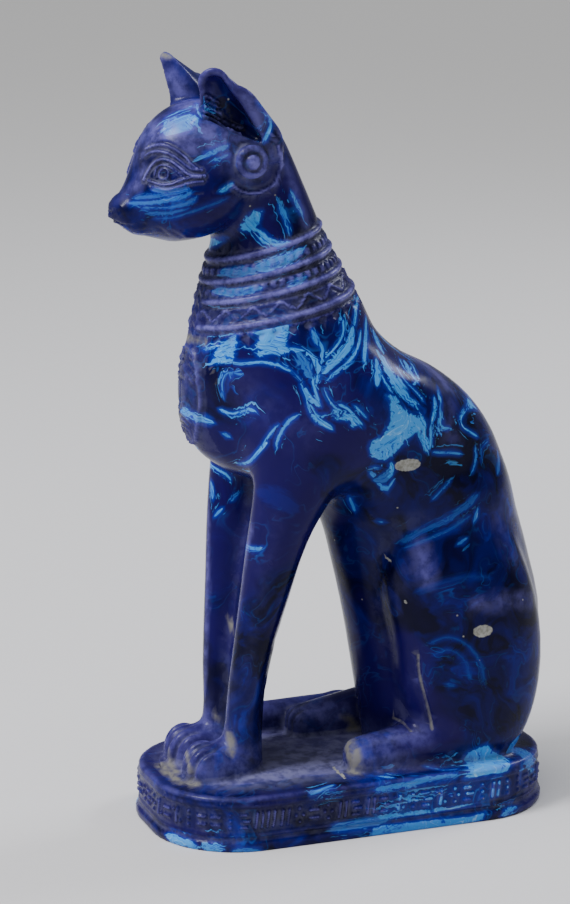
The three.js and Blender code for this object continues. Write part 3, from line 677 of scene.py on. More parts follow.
# Lines in the left ear only, given like those of the face.
EAR_LINES = {
    "hatch_one": (0.36, 0.75, [(206, 96), (213, 99), (220, 104)]),
    "hatch_two": (0.36, 0.75, [(206, 101), (214, 104.5), (222, 109)]),
    "hatch_three": (0.36, 0.75, [(205, 106), (213, 109.5), (222, 115)]),
    "base_one": (0.42, 0.6, [(204, 111), (215, 116), (226, 123), (243, 128.5)]),
    "base_two": (0.42, 0.6, [(204, 116), (214, 120), (226, 128), (240, 134)]),
    "streak": (0.4, 0.35, [(222, 100), (224, 106), (226, 113)]),
}
# Grooves at the near haunch and ankle: the photograph's places.
HAUNCH_GROOVE = [(418, 655), (419, 672), (423, 690), (428, 708), (432, 729)]
ANKLE_CREASE = [(393, 718), (402, 722), (411, 731)]
# Depth and half width of each groove in mm, then its places.
GROOVES = {"haunch": (0.6, 0.5, HAUNCH_GROOVE), "ankle": (0.3, 0.4, ANKLE_CREASE)}

# Turquoise marbling by its places in the photograph: half width in pixels, strength, then the places.
AZURE_MARKS = {
    "forehead_edge": (1.1, 0.8, [(164, 119), (174, 114), (187, 109), (199, 106)]),
    "ear_front": (1.6, 0.8, [(196, 103), (198, 110), (201, 117)]),
    "temple": (3.0, 0.6, [(203, 157), (215, 151), (228, 145)]),
    "temple_low": (1.6, 0.6, [(212, 161), (229, 154)]),
    "lobe_front": (2.6, 0.7, [(219, 192), (227, 188), (233, 183)]),
    "ear_back": (1.3, 0.8, [(257, 102), (267, 112), (271, 125), (265, 142)]),
    "cheek_one": (2.2, 0.42, [(128, 203), (150, 203), (176, 199), (192, 193)]),
    "cheek_two": (2.0, 0.36, [(134, 198), (155, 196), (180, 193)]),
    "cheek_three": (2.0, 0.36, [(142, 208), (166, 208), (186, 204), (196, 198)]),
    "cheek_four": (1.8, 0.34, [(148, 213), (170, 213), (190, 208)]),
    "cheek_five": (1.4, 0.3, [(154, 219), (176, 217), (200, 209), (224, 199)]),
    "cheek_six": (3.0, 0.36, [(152, 190), (170, 192), (188, 190)]),
    "cheek_seven": (1.1, 0.32, [(206, 208), (218, 203), (228, 198)]),
    "neck_tail": (3.2, 0.8, [(257, 229), (266, 239), (278, 245), (290, 243)]),
    "nape": (2.4, 0.7, [(291, 191), (297, 204), (303, 216)]),
    "nape_low": (1.4, 0.6, [(279, 205), (286, 220), (290, 234)]),
    "collar_left": (6.5, 0.5, [(222, 272), (240, 272), (256, 270)]),
    "collar_right": (7.0, 0.6, [(256, 269), (272, 264), (288, 258), (302, 249)]),
    "collar_row": (4.5, 0.5, [(213, 291), (232, 293), (248, 291), (262, 288)]),
    "collar_row_right": (3.5, 0.5, [(288, 287), (306, 277)]),
    "chest_left_edge": (2.2, 0.9, [(203, 350), (212, 347), (222, 345)]),
    "chest_line": (1.35, 0.9, [(209, 364), (222, 361), (242, 363), (262, 362), (278, 365), (291, 370)]),
    "chest_line_fall": (1.3, 0.45, [(291, 370), (299, 378), (305, 387)]),
    "shoulder_glow": (8, 0.42, [(297, 352), (304, 362), (311, 377)]),
    "shoulder_front": (2.2, 0.85, [(289, 348), (303, 352), (314, 360), (319, 370), (316, 384)]),
    "collar_drop": (4.2, 0.55, [(312, 330), (315, 340), (318, 346)]),
    "collar_hook": (1.5, 0.75, [(317, 340), (322, 348), (323, 355), (320, 364)]),
    "shoulder_fall": (1.8, 0.9, [(302, 384), (308, 393), (313, 401), (319, 398)]),
    "shoulder_fold": (1.7, 0.8, [(311, 371), (313, 384), (317, 396), (321, 407)]),
    "shoulder_lobe": (3.4, 0.95, [(308, 396), (314, 402), (320, 406)]),
    "shoulder_wave": (1.3, 0.85, [(310, 404), (315, 413), (321, 417), (326, 414)]),
    "shoulder_tip": (2.8, 0.95, [(311, 414), (320, 421), (328, 426), (333, 430)]),
    "shoulder_spark": (1.7, 0.95, [(353, 405), (360, 411), (367, 419)]),
    "neck_fall_left": (1.7, 0.85, [(343, 318), (343, 334), (335, 348), (324, 359)]),
    "neck_fall_right": (1.7, 0.85, [(361, 330), (358, 347), (349, 361), (337, 371), (327, 380)]),
    "nape_edge": (1.5, 0.8, [(368, 312), (374, 326), (384, 340), (396, 350), (408, 359)]),
    "flank_inner": (1.7, 0.8, [(380, 372), (386, 384), (393, 394)]),
    "flank_outer": (1.5, 0.85, [(396, 366), (404, 380), (414, 390), (424, 402)]),
    "flank_comb_one": (1.3, 0.9, [(399, 358), (404, 368), (409, 373), (411, 366)]),
    "flank_comb_two": (1.3, 0.9, [(410, 362), (415, 371), (418, 379), (413, 384)]),
    "shoulder_curl": (1.5, 0.9, [(338, 404), (348, 409), (357, 419), (364, 427)]),
    "shoulder_back": (1.2, 0.8, [(325, 390), (330, 402), (338, 409)]),
    "shoulder_side": (1.2, 0.7, [(300, 384), (306, 396), (309, 410), (317, 424)]),
    "chest_swirl": (1.0, 0.55, [(224, 398), (222, 384), (226, 374), (234, 371), (230, 380)]),
    "flank_low_swirl": (1.6, 0.6, [(369, 472), (377, 480), (386, 490), (393, 480)]),
    "neck_fall_high": (2.4, 0.75, [(358, 296), (356, 310), (354, 326)]),
    "neck_fall": (4.2, 0.9, [(353, 326), (350, 342), (342, 354), (331, 364), (321, 374)]),
    "neck_fall_back": (3.0, 0.85, [(366, 316), (366, 334), (365, 350), (364, 363)]),
    "nape_fall": (4.2, 0.9, [(373, 330), (378, 343), (383, 352)]),
    "flank_strand": (4.4, 0.8, [(376, 359), (378, 372), (377, 386)]),
    "flank_top": (6.0, 0.95, [(382, 356), (389, 370), (398, 384), (409, 396)]),
    "flank_streak": (3.2, 1.0, [(404, 360), (410, 371), (418, 383)]),
    "flank_rear": (4.5, 0.8, [(421, 428), (424, 440), (428, 452)]),
    "flank_rear_edge": (1.8, 0.8, [(431, 424), (431, 438), (430, 450)]),
    "flank_line": (2.4, 0.95, [(434, 397), (435, 409), (431, 424)]),
    "flank_hook": (1.8, 1.0, [(437, 387), (440, 399), (440, 414), (441, 427), (450, 428)]),
    "flank_hook_end": (2.6, 0.9, [(437, 427), (440, 433)]),
    "flank_dab": (3.6, 0.75, [(391, 462), (391, 473), (384, 482)]),
    "flank_glow": (6.0, 0.4, [(374, 480), (384, 479), (392, 468)]),
    "flank_under": (1.6, 0.7, [(371, 467), (380, 468)]),
    "flank_edge": (1.5, 0.55, [(432, 452), (441, 453), (451, 452.5), (462, 454)]),
    "back_loop": (1.7, 0.9, [(466, 410), (461, 418), (462, 426), (470, 432), (478, 437)]),
    "back_fall": (1.6, 0.45, [(475, 447), (476, 460), (472, 473)]),
    "back_thread": (1.1, 0.4, [(488, 441), (482, 448), (481, 462)]),
    "back_mist": (3.0, 0.35, [(497, 450), (499, 462), (497, 474)]),
    "flank_sweep": (1.4, 0.4, [(451, 480), (442, 490), (432, 500)]),
    "haunch_sweep": (3.6, 0.3, [(478, 494), (466, 506), (452, 516), (436, 525), (416, 534), (400, 542)]),
    "haunch_sweep_low": (1.8, 0.28, [(470, 516), (452, 528), (430, 538), (404, 548)]),
    "haunch_spark": (2.4, 0.5, [(478, 509), (474, 522)]),
    "haunch_dab": (3.0, 0.4, [(457, 545), (467, 538)]),
    "haunch_mid": (2.2, 0.18, [(416, 592), (440, 584), (468, 577), (490, 578)]),
    "haunch_swirl": (1.3, 0.24, [(430, 643), (448, 637), (466, 644), (480, 662), (484, 682)]),
    "haunch_swirl_in": (1.2, 0.22, [(434, 655), (450, 650), (464, 660), (470, 678)]),
    "haunch_spot": (3.6, 0.26, [(446, 684), (455, 686)]),
    "chest_wave": (1.8, 0.85, [(219, 409), (230, 413.5), (242, 412), (251, 408.5), (257, 413)]),
    "chest_crease": (1.9, 0.8, [(238, 465), (250, 461), (259, 451), (268, 441)]),
    "chest_fold": (1.4, 0.65, [(261, 448), (270, 434), (279, 424)]),
    "chest_fold_back": (1.6, 0.65, [(276, 448), (279, 436), (288, 422), (298, 415)]),
    "chest_dab": (2.6, 0.6, [(222, 433), (231, 438)]),
    "chest_hook": (1.0, 0.6, [(221, 381), (222, 374), (228, 371)]),
    "pendant_band": (4.0, 0.8, [(183, 410), (197, 417), (214, 423)]),
    "far_leg": (2.8, 0.55, [(211, 480), (213, 500)]),
    "far_leg_spark": (1.8, 0.6, [(214, 517), (223, 508)]),
    "leg_glow": (10, 0.12, [(258, 492), (276, 498), (296, 510)]),
    "leg_spark": (1.6, 0.5, [(231, 501), (239, 493)]),
    "belly_edge": (2.0, 0.5, [(349, 496), (355, 512)]),
    "belly_dab": (2.4, 0.5, [(376, 521), (385, 522)]),
    "top_edge": (3.2, 0.5, [(376, 790), (404, 785), (432, 780), (458, 775)]),
    "band_middle": (5.0, 0.45, [(330, 829), (358, 825), (388, 820)]),
    "foot_end": (4.0, 0.6, [(502, 815), (516, 807)]),
    "foot_front": (4.4, 0.8, [(166, 835), (180, 841), (196, 846)]),
    "foot_front_end": (5.0, 0.95, [(205, 848), (222, 850)]),
    "foot_middle": (2.5, 0.5, [(232, 851), (268, 850), (304, 846)]),
    "rim_end": (6.0, 0.5, [(516, 748), (528, 756), (534, 768)]),
    "top_streak": (2.0, 0.55, [(310, 795), (322, 790), (334, 785)]),
    "top_dab": (3.0, 0.6, [(378, 776), (394, 778)]),
    "top_line": (1.4, 0.5, [(424, 766), (442, 770), (458, 769)]),
}
# Whole patches of turquoise: strength, then the outline's places.
AZURE_PATCHES = {
    "forehead": (0.75, [(161, 131), (164, 121), (174, 116), (190, 113), (200, 117), (198, 125), (190, 131),
                       (176, 135), (165, 137)]),
    "neck": (0.85, [(240, 230), (247, 216), (256, 210), (263, 210), (261, 220), (256, 227), (263, 235),
                    (276, 242), (270, 247), (260, 242), (254, 232)]),
    "throat": (0.7, [(198, 236), (212, 238), (228, 238), (218, 245), (209, 249), (203, 243)]),
    "chest_right": (1.0, [(250, 332), (262, 330), (276, 327), (290, 323), (288, 334), (284, 342), (289, 344),
                          (291, 350), (284, 355), (272, 354), (262, 351), (247, 352), (254, 347), (259, 341),
                          (258, 335)]),
    "chest_right_low": (0.9, [(250, 352), (262, 353), (273, 356), (270, 358), (258, 357)]),
    "chest_left": (0.95, [(231, 335), (240, 333), (236, 338), (239, 344), (236, 352), (230, 357), (237, 362),
                          (210, 364), (213, 353), (219, 347), (212, 344), (223, 342)]),
    "shoulder": (1.0, [(334, 404), (341, 411), (356, 417), (367, 428), (357, 424), (353, 429), (345, 421),
                       (334, 420), (332, 412)]),
    "flank_upper": (0.95, [(390, 371), (396, 375), (401, 385), (407, 393), (414, 398), (419, 404), (426, 413),
                           (416, 409), (408, 402), (400, 396), (393, 388), (388, 380)]),
    "flank": (1.0, [(384, 394), (397, 396), (403, 406), (411, 414), (421, 411), (428, 421), (425, 432),
                    (420, 431), (411, 437), (404, 445), (396, 451), (390, 460), (379, 461), (371, 456),
                    (368, 447), (371, 440), (381, 438), (387, 428), (391, 417), (389, 404)]),
    "back": (0.95, [(457, 381), (466, 388), (476, 398), (472, 401), (475, 406), (481, 410), (470, 409),
                    (465, 414), (461, 423), (459, 418), (464, 409), (467, 402), (467, 394)]),
    "plinth_top": (1.0, [(462, 757), (470, 751), (487, 744), (492, 750), (507, 758), (512, 764), (508, 772),
                         (490, 775), (463, 780), (470, 770)]),
    "band": (0.66, [(398, 794), (440, 790), (470, 783), (502, 776), (509, 782), (507, 791), (490, 798),
                    (478, 801), (470, 806), (440, 812), (412, 816), (395, 818), (376, 823), (378, 812),
                    (392, 806), (405, 804), (399, 799)]),
    "foot": (0.55, [(372, 826), (430, 820), (470, 816), (485, 812), (483, 820), (455, 827), (420, 833),
                   (372, 839)]),
}
# Dark folds that run through the turquoise: half width in pixels, then the places.
DARK_FOLDS = {
    "flank_eye": (2.6, [(404, 406), (411, 411), (419, 416)]),
    "flank_notch": (2.4, [(406, 442), (414, 438), (420, 432)]),
    "flank_comb": (1.4, [(406, 372), (409, 379), (413, 382)]),
    "flank_part": (1.5, [(392, 389), (399, 397), (403, 402)]),
    "strand_part": (1.2, [(372, 333), (371, 346), (370, 360)]),
    "chest_slit": (1.3, [(256, 350), (264, 352), (270, 355)]),
    "rear_crack": (0.9, [(489, 747), (500, 757), (515, 766)]),
    "band_one": (2.0, [(420, 797), (436, 793), (452, 793)]),
    "band_two": (2.2, [(448, 806), (466, 801), (486, 799)]),
    "band_three": (1.8, [(402, 812), (418, 806), (432, 808)]),
    "band_four": (1.8, [(470, 790), (484, 786), (500, 786)]),
}
# Violet grey bloom, partly painted sheen, highlight and reflection where the light falls: half width in
# pixels, strength, then the places.
BLOOM_AND_SHEEN = {
    # The forehead, nape, shoulder, back, chest, near_leg and knee rows paint sheen and highlight, and the hip
    # row paints a reflection.
    "forehead": (16, 0.7, [(152, 134), (180, 131), (206, 134), (224, 144)]),
    "brow": (6, 0.5, [(138, 158), (150, 148), (170, 142), (196, 150)]),
    "far_ear": (9, 0.7, [(172, 76), (181, 92), (186, 106)]),
    "ear_back": (6, 0.5, [(246, 98), (256, 116), (262, 134)]),
    "nose": (7, 0.5, [(114, 206), (124, 196), (136, 186), (142, 170)]),
    "muzzle": (5, 0.3, [(124, 206), (140, 206), (152, 203)]),
    "earring": (15, 1.3, [(256, 162), (257, 165)]),
    # The far_foot row paints light on a foot that lies in shade.
    "far_foot": (11, 1.0, [(288, 716), (310, 711), (338, 714)]),
    "paws": (12, 0.5, [(176, 742), (196, 738), (222, 736)]),
    "nape": (5, 0.4, [(286, 165), (300, 205), (312, 238)]),
    "shoulder": (9, 0.6, [(404, 352), (426, 366), (446, 384)]),
    "back": (10, 0.22, [(448, 400), (452, 440)]),
    "chest": (14, 0.1, [(238, 385), (300, 430), (330, 385)]),
    "near_leg": (6, 0.07, [(276, 520), (262, 600), (244, 690)]),
    "far_leg": (3, 0.5, [(208, 500), (207, 600), (204, 690)]),
    "knee": (8, 0.55, [(420, 548), (426, 578)]),
    "hip": (6, 0.45, [(476, 604), (504, 601), (530, 598)]),
    "hind_foot": (10, 0.5, [(360, 742), (390, 736), (420, 736)]),
    "haunch": (10, 0.2, [(498, 520), (516, 560)]),
}
# The hidden side carries the same kind of marbling, mirrored, moved and laid on the surface there.
HIDDEN_SHIFT = (0.0, 6.0, -11.0)
HIDDEN_LEAST_HEIGHT = 40.0
# How far from a fold, in mm, its place along the fold is still known.
AZURE_REACH = 5.0

# Chips: place, half length and half height in pixels, and how far it leans in radians.
CHIP_DEPTH = 0.4
CHIPS = {
    "flank": ((408, 465), 14, 6.5, 0.0),
    "rump": ((483, 631), 11, 6.5, 0.0),
    "belly": ((388, 559), 5, 1.0, 0.75),
    "belly_low": ((405, 602), 2.4, 1.1, 1.0),
    "plinth": ((340, 773), 3, 1.6, 0.8),
    "ear": ((228, 99), 0.9, 1.8, 0.2),
}
# Beige residue: half width in pixels, then the places.
RESIDUE = {
    "toe_groove": (2.6, [(186, 752), (188, 762), (190, 772)]),
    "toe_gap": (3.4, [(168, 752), (170, 764), (176, 772)]),
    "paw_front": (5, [(160, 764), (174, 778), (196, 784)]),
    "paw_side": (4, [(228, 734), (232, 745), (230, 754)]),
    "hind_toe": (9.5, [(349, 744), (352, 756), (355, 768)]),
    "hind_toe_top": (3, [(348, 729), (356, 726)]),
    "far_foot": (4, [(344, 716), (354, 724), (358, 730)]),
    "ankle": (1.1, ANKLE_CREASE),
    "haunch_groove": (1.2, HAUNCH_GROOVE),
    "leg_recess": (2.6, [(229, 618), (233, 628)]),
    "leg_foot": (2.4, [(214, 712), (217, 720)]),
    "far_ear_tip": (3, [(162, 54), (170, 57)]),
    "pendant_top": (3.5, [(188, 338), (204, 342)]),
    "pendant_edge": (2.2, [(211, 370), (217, 384)]),
}
# Pale specks: the photograph's places.
SPECKS = [(311, 482), (299, 500), (291, 508), (276, 556), (284, 569), (432, 542), (286, 449), (322, 444),
          (328, 452), (474, 676), (493, 665), (486, 652), (310, 497), (477, 441), (437, 447), (463, 469)]


def perimeter(x, y):
    """How far round the plinth's edge a place lies, from the middle of its left side."""
    cx, cy = PLINTH_WIDTH / 2 - PLINTH_CORNER, PLINTH_LENGTH / 2 - PLINTH_CORNER
    qx, qy = np.clip(x, -cx, cx), np.clip(y, -cy, cy)
    rear, fore = y >= cy, y <= -cy
    angle = np.where(rear | fore, np.arctan2(y - qy, x - qx) % (2 * math.pi), np.where(x > 0, 0, math.pi))
    straight = np.select([rear, fore, x > 0], [cy + cx - qx, 3 * cy + 3 * cx + qx, qy], 2 * cy + 2 * cx - qy)
    return PLINTH_CORNER * angle + straight


def bump(off, half):
    """A rounded line's profile at an offset from its middle."""
    return np.exp(-(off / half) ** 2)


def plate(off, edge):
    """One inside an outline and nought outside, with an edge of some width."""
    return np.clip(0.5 - off / edge, 0, 1)


def repeated(value, pitch):
    """Offset from the nearest of evenly spaced lines."""
    return (value / pitch % 1 - 0.5) * pitch


def between(value, low, high):
    """Whether a value lies between two others."""
    return (value > low) & (value < high)


# The plinth's band: the stroke groups' pitch, the levels it runs between, and the strokes' half width
# and height.
BAND_CELL = 4.7
BAND_LOW = 6.0
BAND_HIGH = 13.4
BAND_STROKE = 0.5
BAND_STANDS = 0.85
DOT_LENGTH = 1e-3
# More groups than go round the plinth.
GROUPS_DRAWN = 200
# Kinds of stroke group: where each stroke starts and ends, across and up, from the group's middle.
STROKE_GROUPS = [
    [(-1.3, -2.2, -0.7, 2.2), (0.7, -2.2, 1.3, 2.2)],
    [(0.0, 2.1, 0.0, 2.1), (0.0, 0.0, 0.0, 0.0), (0.0, -2.1, 0.0, -2.1)],
    [(-1.3, 1.2, 1.3, 1.2), (-1.3, -1.2, 1.3, -1.2)],
    [(-0.3, -2.2, 0.3, 2.2), (-1.3, 1.7, -1.3, 1.7), (1.3, -1.7, 1.3, -1.7)],
    [(0.0, 2.1, 0.0, 2.1), (-1.2, 0.0, -1.2, 0.0), (1.2, 0.0, 1.2, 0.0), (0.0, -2.1, 0.0, -2.1)],
    [(-1.4, 2.0, 0.4, 2.0), (-0.5, 0.0, 1.3, 0.0), (-1.4, -2.0, 0.4, -2.0)],
]


def band_strokes(x, y, z, seed):
    """Shallow strokes and dots in groups round the plinth's band, none of them a letter."""
    along = perimeter(x, y) / BAND_CELL
    cell = np.floor(along).astype(int)
    u = (along - cell - 0.5) * BAND_CELL
    v = z - (BAND_LOW + BAND_HIGH) / 2
    drawn = np.random.default_rng(seed).integers(0, len(STROKE_GROUPS), GROUPS_DRAWN)
    kinds = drawn[cell % GROUPS_DRAWN]
    flat = np.zeros_like(x)
    rise = np.zeros_like(x)
    for kind, group in enumerate(STROKE_GROUPS):
        here = kinds == kind
        for ua, va, ub, vb in group:
            ends = (ua, va, 0), (ub + DOT_LENGTH, vb, 0)
            off = tapered_rod(u[here], v[here], flat[here], *ends, (0, 0))
            rise[here] = np.maximum(rise[here], bump(off, BAND_STROKE))
    return BAND_STANDS * rise * between(z, BAND_LOW, BAND_HIGH)


# A ridge of the collar and the fine lines beside it: how far above it, height and half width.
RIDGE_LINES = [(0, 0.9, 0.95), (-1.65, -0.6, 0.45), (-2.35, 0.3, 0.38), (1.5, -0.3, 0.4)]
# Rows of blocks: the ridge above, the ridge below and how many go round. Their middle's level is a
# share of the way from the lower ridge to the upper.
BLOCK_ROWS = [(0, 1, 42), (1, 2, 48)]
BLOCK = {"level": 0.42, "space": 0.8, "half_height": 1.05, "stands": 0.5, "edge": 0.5}
# The zigzag: its low points, its rise and where it ends, as shares of the way between two ridges.
ZIGZAG = {"count": 17, "low": 0.22, "rise": 0.46, "ends": (0.16, 0.74), "slant": 0.72}
ZIGZAG_LINE = {"stands": 0.55, "half": 0.42}
ZIGZAG_FILL = {"stands": 0.25, "above": 1.3, "edge": 0.5}
DENT = {"count": 34, "half": (1.25, 1.1), "below": 3.6, "deep": 0.6, "edge": 0.6}
# How far the collar's carving goes above its top ridge and below its lowest.
COLLAR_ABOVE = 2.6
COLLAR_BELOW = 7.0


def above_ridges(y, z):
    """How far places lie above each ridge of the collar."""
    return [z - height - tilt * (y - COLLAR_FRONT) for height, tilt in COLLAR_RIDGES]


def collar_relief(x, y, z):
    """Ridges, two rows of blocks, a zigzag and a row of dents round the neck and shoulders."""
    front, back, half = trunk_at(z)
    reach = (back - front) / 2
    turn = np.arctan2(x / half, -(y - (front + back) / 2) / reach) / (2 * math.pi)
    girth = math.pi * (half + reach)
    offs = above_ridges(y, z)
    rise = np.zeros_like(x)
    for off in offs:
        for above, stands, wide in RIDGE_LINES:
            rise += stands * bump(off - above, wide)
    for upper, lower, count in BLOCK_ROWS:
        level = offs[lower] - BLOCK["level"] * (offs[lower] - offs[upper])
        across = np.abs(repeated(turn, 1 / count)) * girth - girth / count / 2 + BLOCK["space"] / 2
        block = np.maximum(across, np.abs(level) - BLOCK["half_height"])
        rise += BLOCK["stands"] * plate(block, BLOCK["edge"]) * (offs[upper] < 0) * (offs[lower] > 0)
    gap = offs[3] - offs[2]
    level = offs[3] / gap
    fall = np.abs(repeated(turn, 1 / ZIGZAG["count"])) * 2 * ZIGZAG["count"]
    off = (level - ZIGZAG["low"] - ZIGZAG["rise"] * (1 - fall)) * gap * ZIGZAG["slant"]
    line = ZIGZAG_LINE["stands"] * bump(off, ZIGZAG_LINE["half"])
    fill = ZIGZAG_FILL["stands"] * plate(off + ZIGZAG_FILL["above"], ZIGZAG_FILL["edge"])
    rise += (line + fill) * between(level, *ZIGZAG["ends"])
    wide, tall = DENT["half"]
    dent = np.hypot(repeated(turn, 1 / DENT["count"]) * girth / wide, (offs[3] + DENT["below"]) / tall)
    rise -= DENT["deep"] * plate((dent - 1) * tall, DENT["edge"])
    return rise * (offs[0] < COLLAR_ABOVE) * (offs[3] > -COLLAR_BELOW)


# The pendant: an upright strip with chevrons above an oval plate, with what each lets stand.
STRIP = {"half": 3.3, "top": 170.0, "low": 150.0, "edge": 0.8, "stands": 0.45}
CHEVRON = {"pitch": 3.1, "lean": 0.9, "half": 0.42, "reach": 2.2}
PENDANT = {"half": 9.6, "half_height": 15.5, "middle": 136.5, "edge": 1.2, "stands": 0.45}
PENDANT_BODY = {"half": 4.2, "half_height": 6.4, "middle": 139.5, "edge": 0.9}
PENDANT_WAIST = 141.0
# Lines that curve across the plate's wings and bands: curve, pitch and half width.
WING_LINES = (0.06, 1.9, 0.42)
BAND_LINES = (0.09, 2.0, 0.45)
PENDANT_BANDS = (126.0, 132.5)
BODY_RIDGE = {"half": 0.4, "low": 133.0}
SHOULDER_LINE = {"curve": 0.05, "above_waist": 0.5, "half": 0.4, "reach": 4.0}
# Feathers: the level they fan out from, the degrees between them, their reach in mm for a degree and
# half width.
FEATHERS = {"from": 112.0, "pitch": 9.0, "reach": 0.27, "half": 0.45}
# Height of each of the plate's carvings.
PENDANT_CARVING = {
    "wings": 0.5, "body": 0.6, "ridge": -0.4, "shoulders": -0.35, "bands": 0.5, "feathers": 0.5,
}


def curved_lines(x, z, curve, pitch, half):
    """Evenly spaced lines across the pendant's plate that curve down at its sides."""
    return bump(repeated(z + curve * x * x, pitch), half)


def pendant_relief(x, z):
    """How far the pendant stands out, and where it lies."""
    side = np.abs(x)
    from_edge = side - STRIP["half"]
    on_strip = plate(np.maximum(from_edge, STRIP["low"] - z), STRIP["edge"]) * (z < STRIP["top"])
    chevrons = bump(repeated(z + CHEVRON["lean"] * side, CHEVRON["pitch"]), CHEVRON["half"])
    strip = STRIP["stands"] * (1 + bump(from_edge + 0.6, 0.4) + chevrons * (side < CHEVRON["reach"]))
    off = ellipse(x, z - PENDANT["middle"], PENDANT["half"], PENDANT["half_height"])
    on_plate = plate(off, PENDANT["edge"])
    rim = 0.6 * bump(off + 0.8, 0.5) * (off < 0.6)
    body_off = ellipse(x, z - PENDANT_BODY["middle"], PENDANT_BODY["half"], PENDANT_BODY["half_height"])
    shoulder_off = z - PENDANT_WAIST - SHOULDER_LINE["above_waist"] + SHOULDER_LINE["curve"] * x * x
    fan = np.degrees(np.arctan2(x, z - FEATHERS["from"]))
    feather_off = repeated(fan, FEATHERS["pitch"]) * FEATHERS["reach"]
    low, high = PENDANT_BANDS
    carvings = {
        "wings": curved_lines(x, z, *WING_LINES) * (z > PENDANT_WAIST) * (side > 2.6),
        "body": plate(body_off, PENDANT_BODY["edge"]),
        "ridge": bump(x, BODY_RIDGE["half"]) * between(z, BODY_RIDGE["low"], PENDANT_WAIST),
        "shoulders": bump(shoulder_off, SHOULDER_LINE["half"]) * (side < SHOULDER_LINE["reach"]),
        "bands": curved_lines(x, z, *BAND_LINES) * between(z, low, high),
        "feathers": bump(feather_off, FEATHERS["half"]) * (z <= low),
    }
    carved = sum(PENDANT_CARVING[name] * shape for name, shape in carvings.items())
    rise = np.maximum(on_strip * strip, on_plate * (PENDANT["stands"] + carved) + rim)
    return rise, np.maximum(on_strip, on_plate)


# Grooves between the toes: half the foot's width, how far before and behind the tips they run, their
# places across the foot, half width and depth. They fade out over the last few millimetres.
HIND_GROOVES = {"foot_half": 6.2, "before": 3.0, "behind": 8.0, "places": (-3, 0, 3), "half": 0.5,
                "deep": 0.8}
FORE_GROOVES = {"foot_half": 7.0, "before": 20.0, "behind": 5.0, "places": (-TOE_PITCH, 0, TOE_PITCH),
                "half": 0.55, "deep": 0.75}
TOE_FADE = 4.0
TOE_LEVELS = (PLINTH_HEIGHT + 0.6, 30.0)


def toe_relief(x, y, z):
    """Grooves that part the toes of each hind foot and forepaw."""
    hind_tip = np.where(x > 0, HIND_TOE_LEFT, HIND_TOE_RIGHT)
    rise = np.zeros_like(x)
    for middle, tip, kind in ((HIND_FOOT_SIDE, hind_tip, HIND_GROOVES),
                              (PAW_CENTRE[0], TOE_REACH, FORE_GROOVES)):
        side = np.abs(x) - middle
        lines = np.max([bump(side - place, kind["half"]) for place in kind["places"]], 0)
        on_foot = (np.abs(side) < kind["foot_half"]) & (y > tip - kind["before"]) & between(z, *TOE_LEVELS)
        fade = np.clip((tip + kind["behind"] - y) / TOE_FADE, 0, 1)
        rise -= kind["deep"] * lines * on_foot * fade
    return rise


# Whisker lines: the place they fan out from, the degrees between them, their half width and depth, how
# far from the nose and how far down in degrees they lie, and the levels they lie between.
WHISKERS = {
    "from": (-74, 199), "pitch": 4.6, "half": 0.26, "deep": 0.26, "reach": (11, 38), "fan": (-4, 42),
    "levels": (186.5, 203),
}


def whisker_relief(x, y, z):
    """Fine broken grooves that run back from the muzzle over the cheeks."""
    fore, level = WHISKERS["from"]
    from_nose = np.hypot(y - fore, z - level)
    fan = np.degrees(np.arctan2(level - z, y - fore))
    off = np.radians(repeated(fan, WHISKERS["pitch"])) * from_nose
    cheek = between(from_nose, *WHISKERS["reach"]) & between(fan, *WHISKERS["fan"])
    cheek &= between(z, *WHISKERS["levels"]) & (np.abs(x) > 3)
    broken = np.sin(from_nose * 0.8 + np.floor(fan / WHISKERS["pitch"]) * 2.4) > -0.45
    return -WHISKERS["deep"] * bump(off, WHISKERS["half"]) * cheek * broken


# Levels, in mm, between which each part of the carving lies.
PENDANT_LEVELS = (118.0, 172.0)
FEET_LEVELS = (17.5, 33.0)
TOES_LEVELS = (17.5, 29.0)
CHEEK_LEVELS = (186.0, 203.0)
HATCHING_LEVELS = (212.0, 230.0)
HEAD_LOW = 184.0
EAR_LOW = 216.0
PLINTH_SIDE_TOP = 14.0
# Places fore and aft: the pendant is carved before the first, and the chest's foremost part and the
# jaw lie before the second.
PENDANT_FORE = -25.0
CHEST_FRONT = -38.0
# The middle of each eye's lines, fore and aft and up, and how far they reach.
EYE_MIDDLE = (-58.5, 205.5)
EYE_REACH = 11.5
# How far in from the plinth's outline its side is taken to reach, and below which level lies its
# underside, which stays flat.
PLINTH_SIDE = 3.0
UNDERSIDE = 0.05


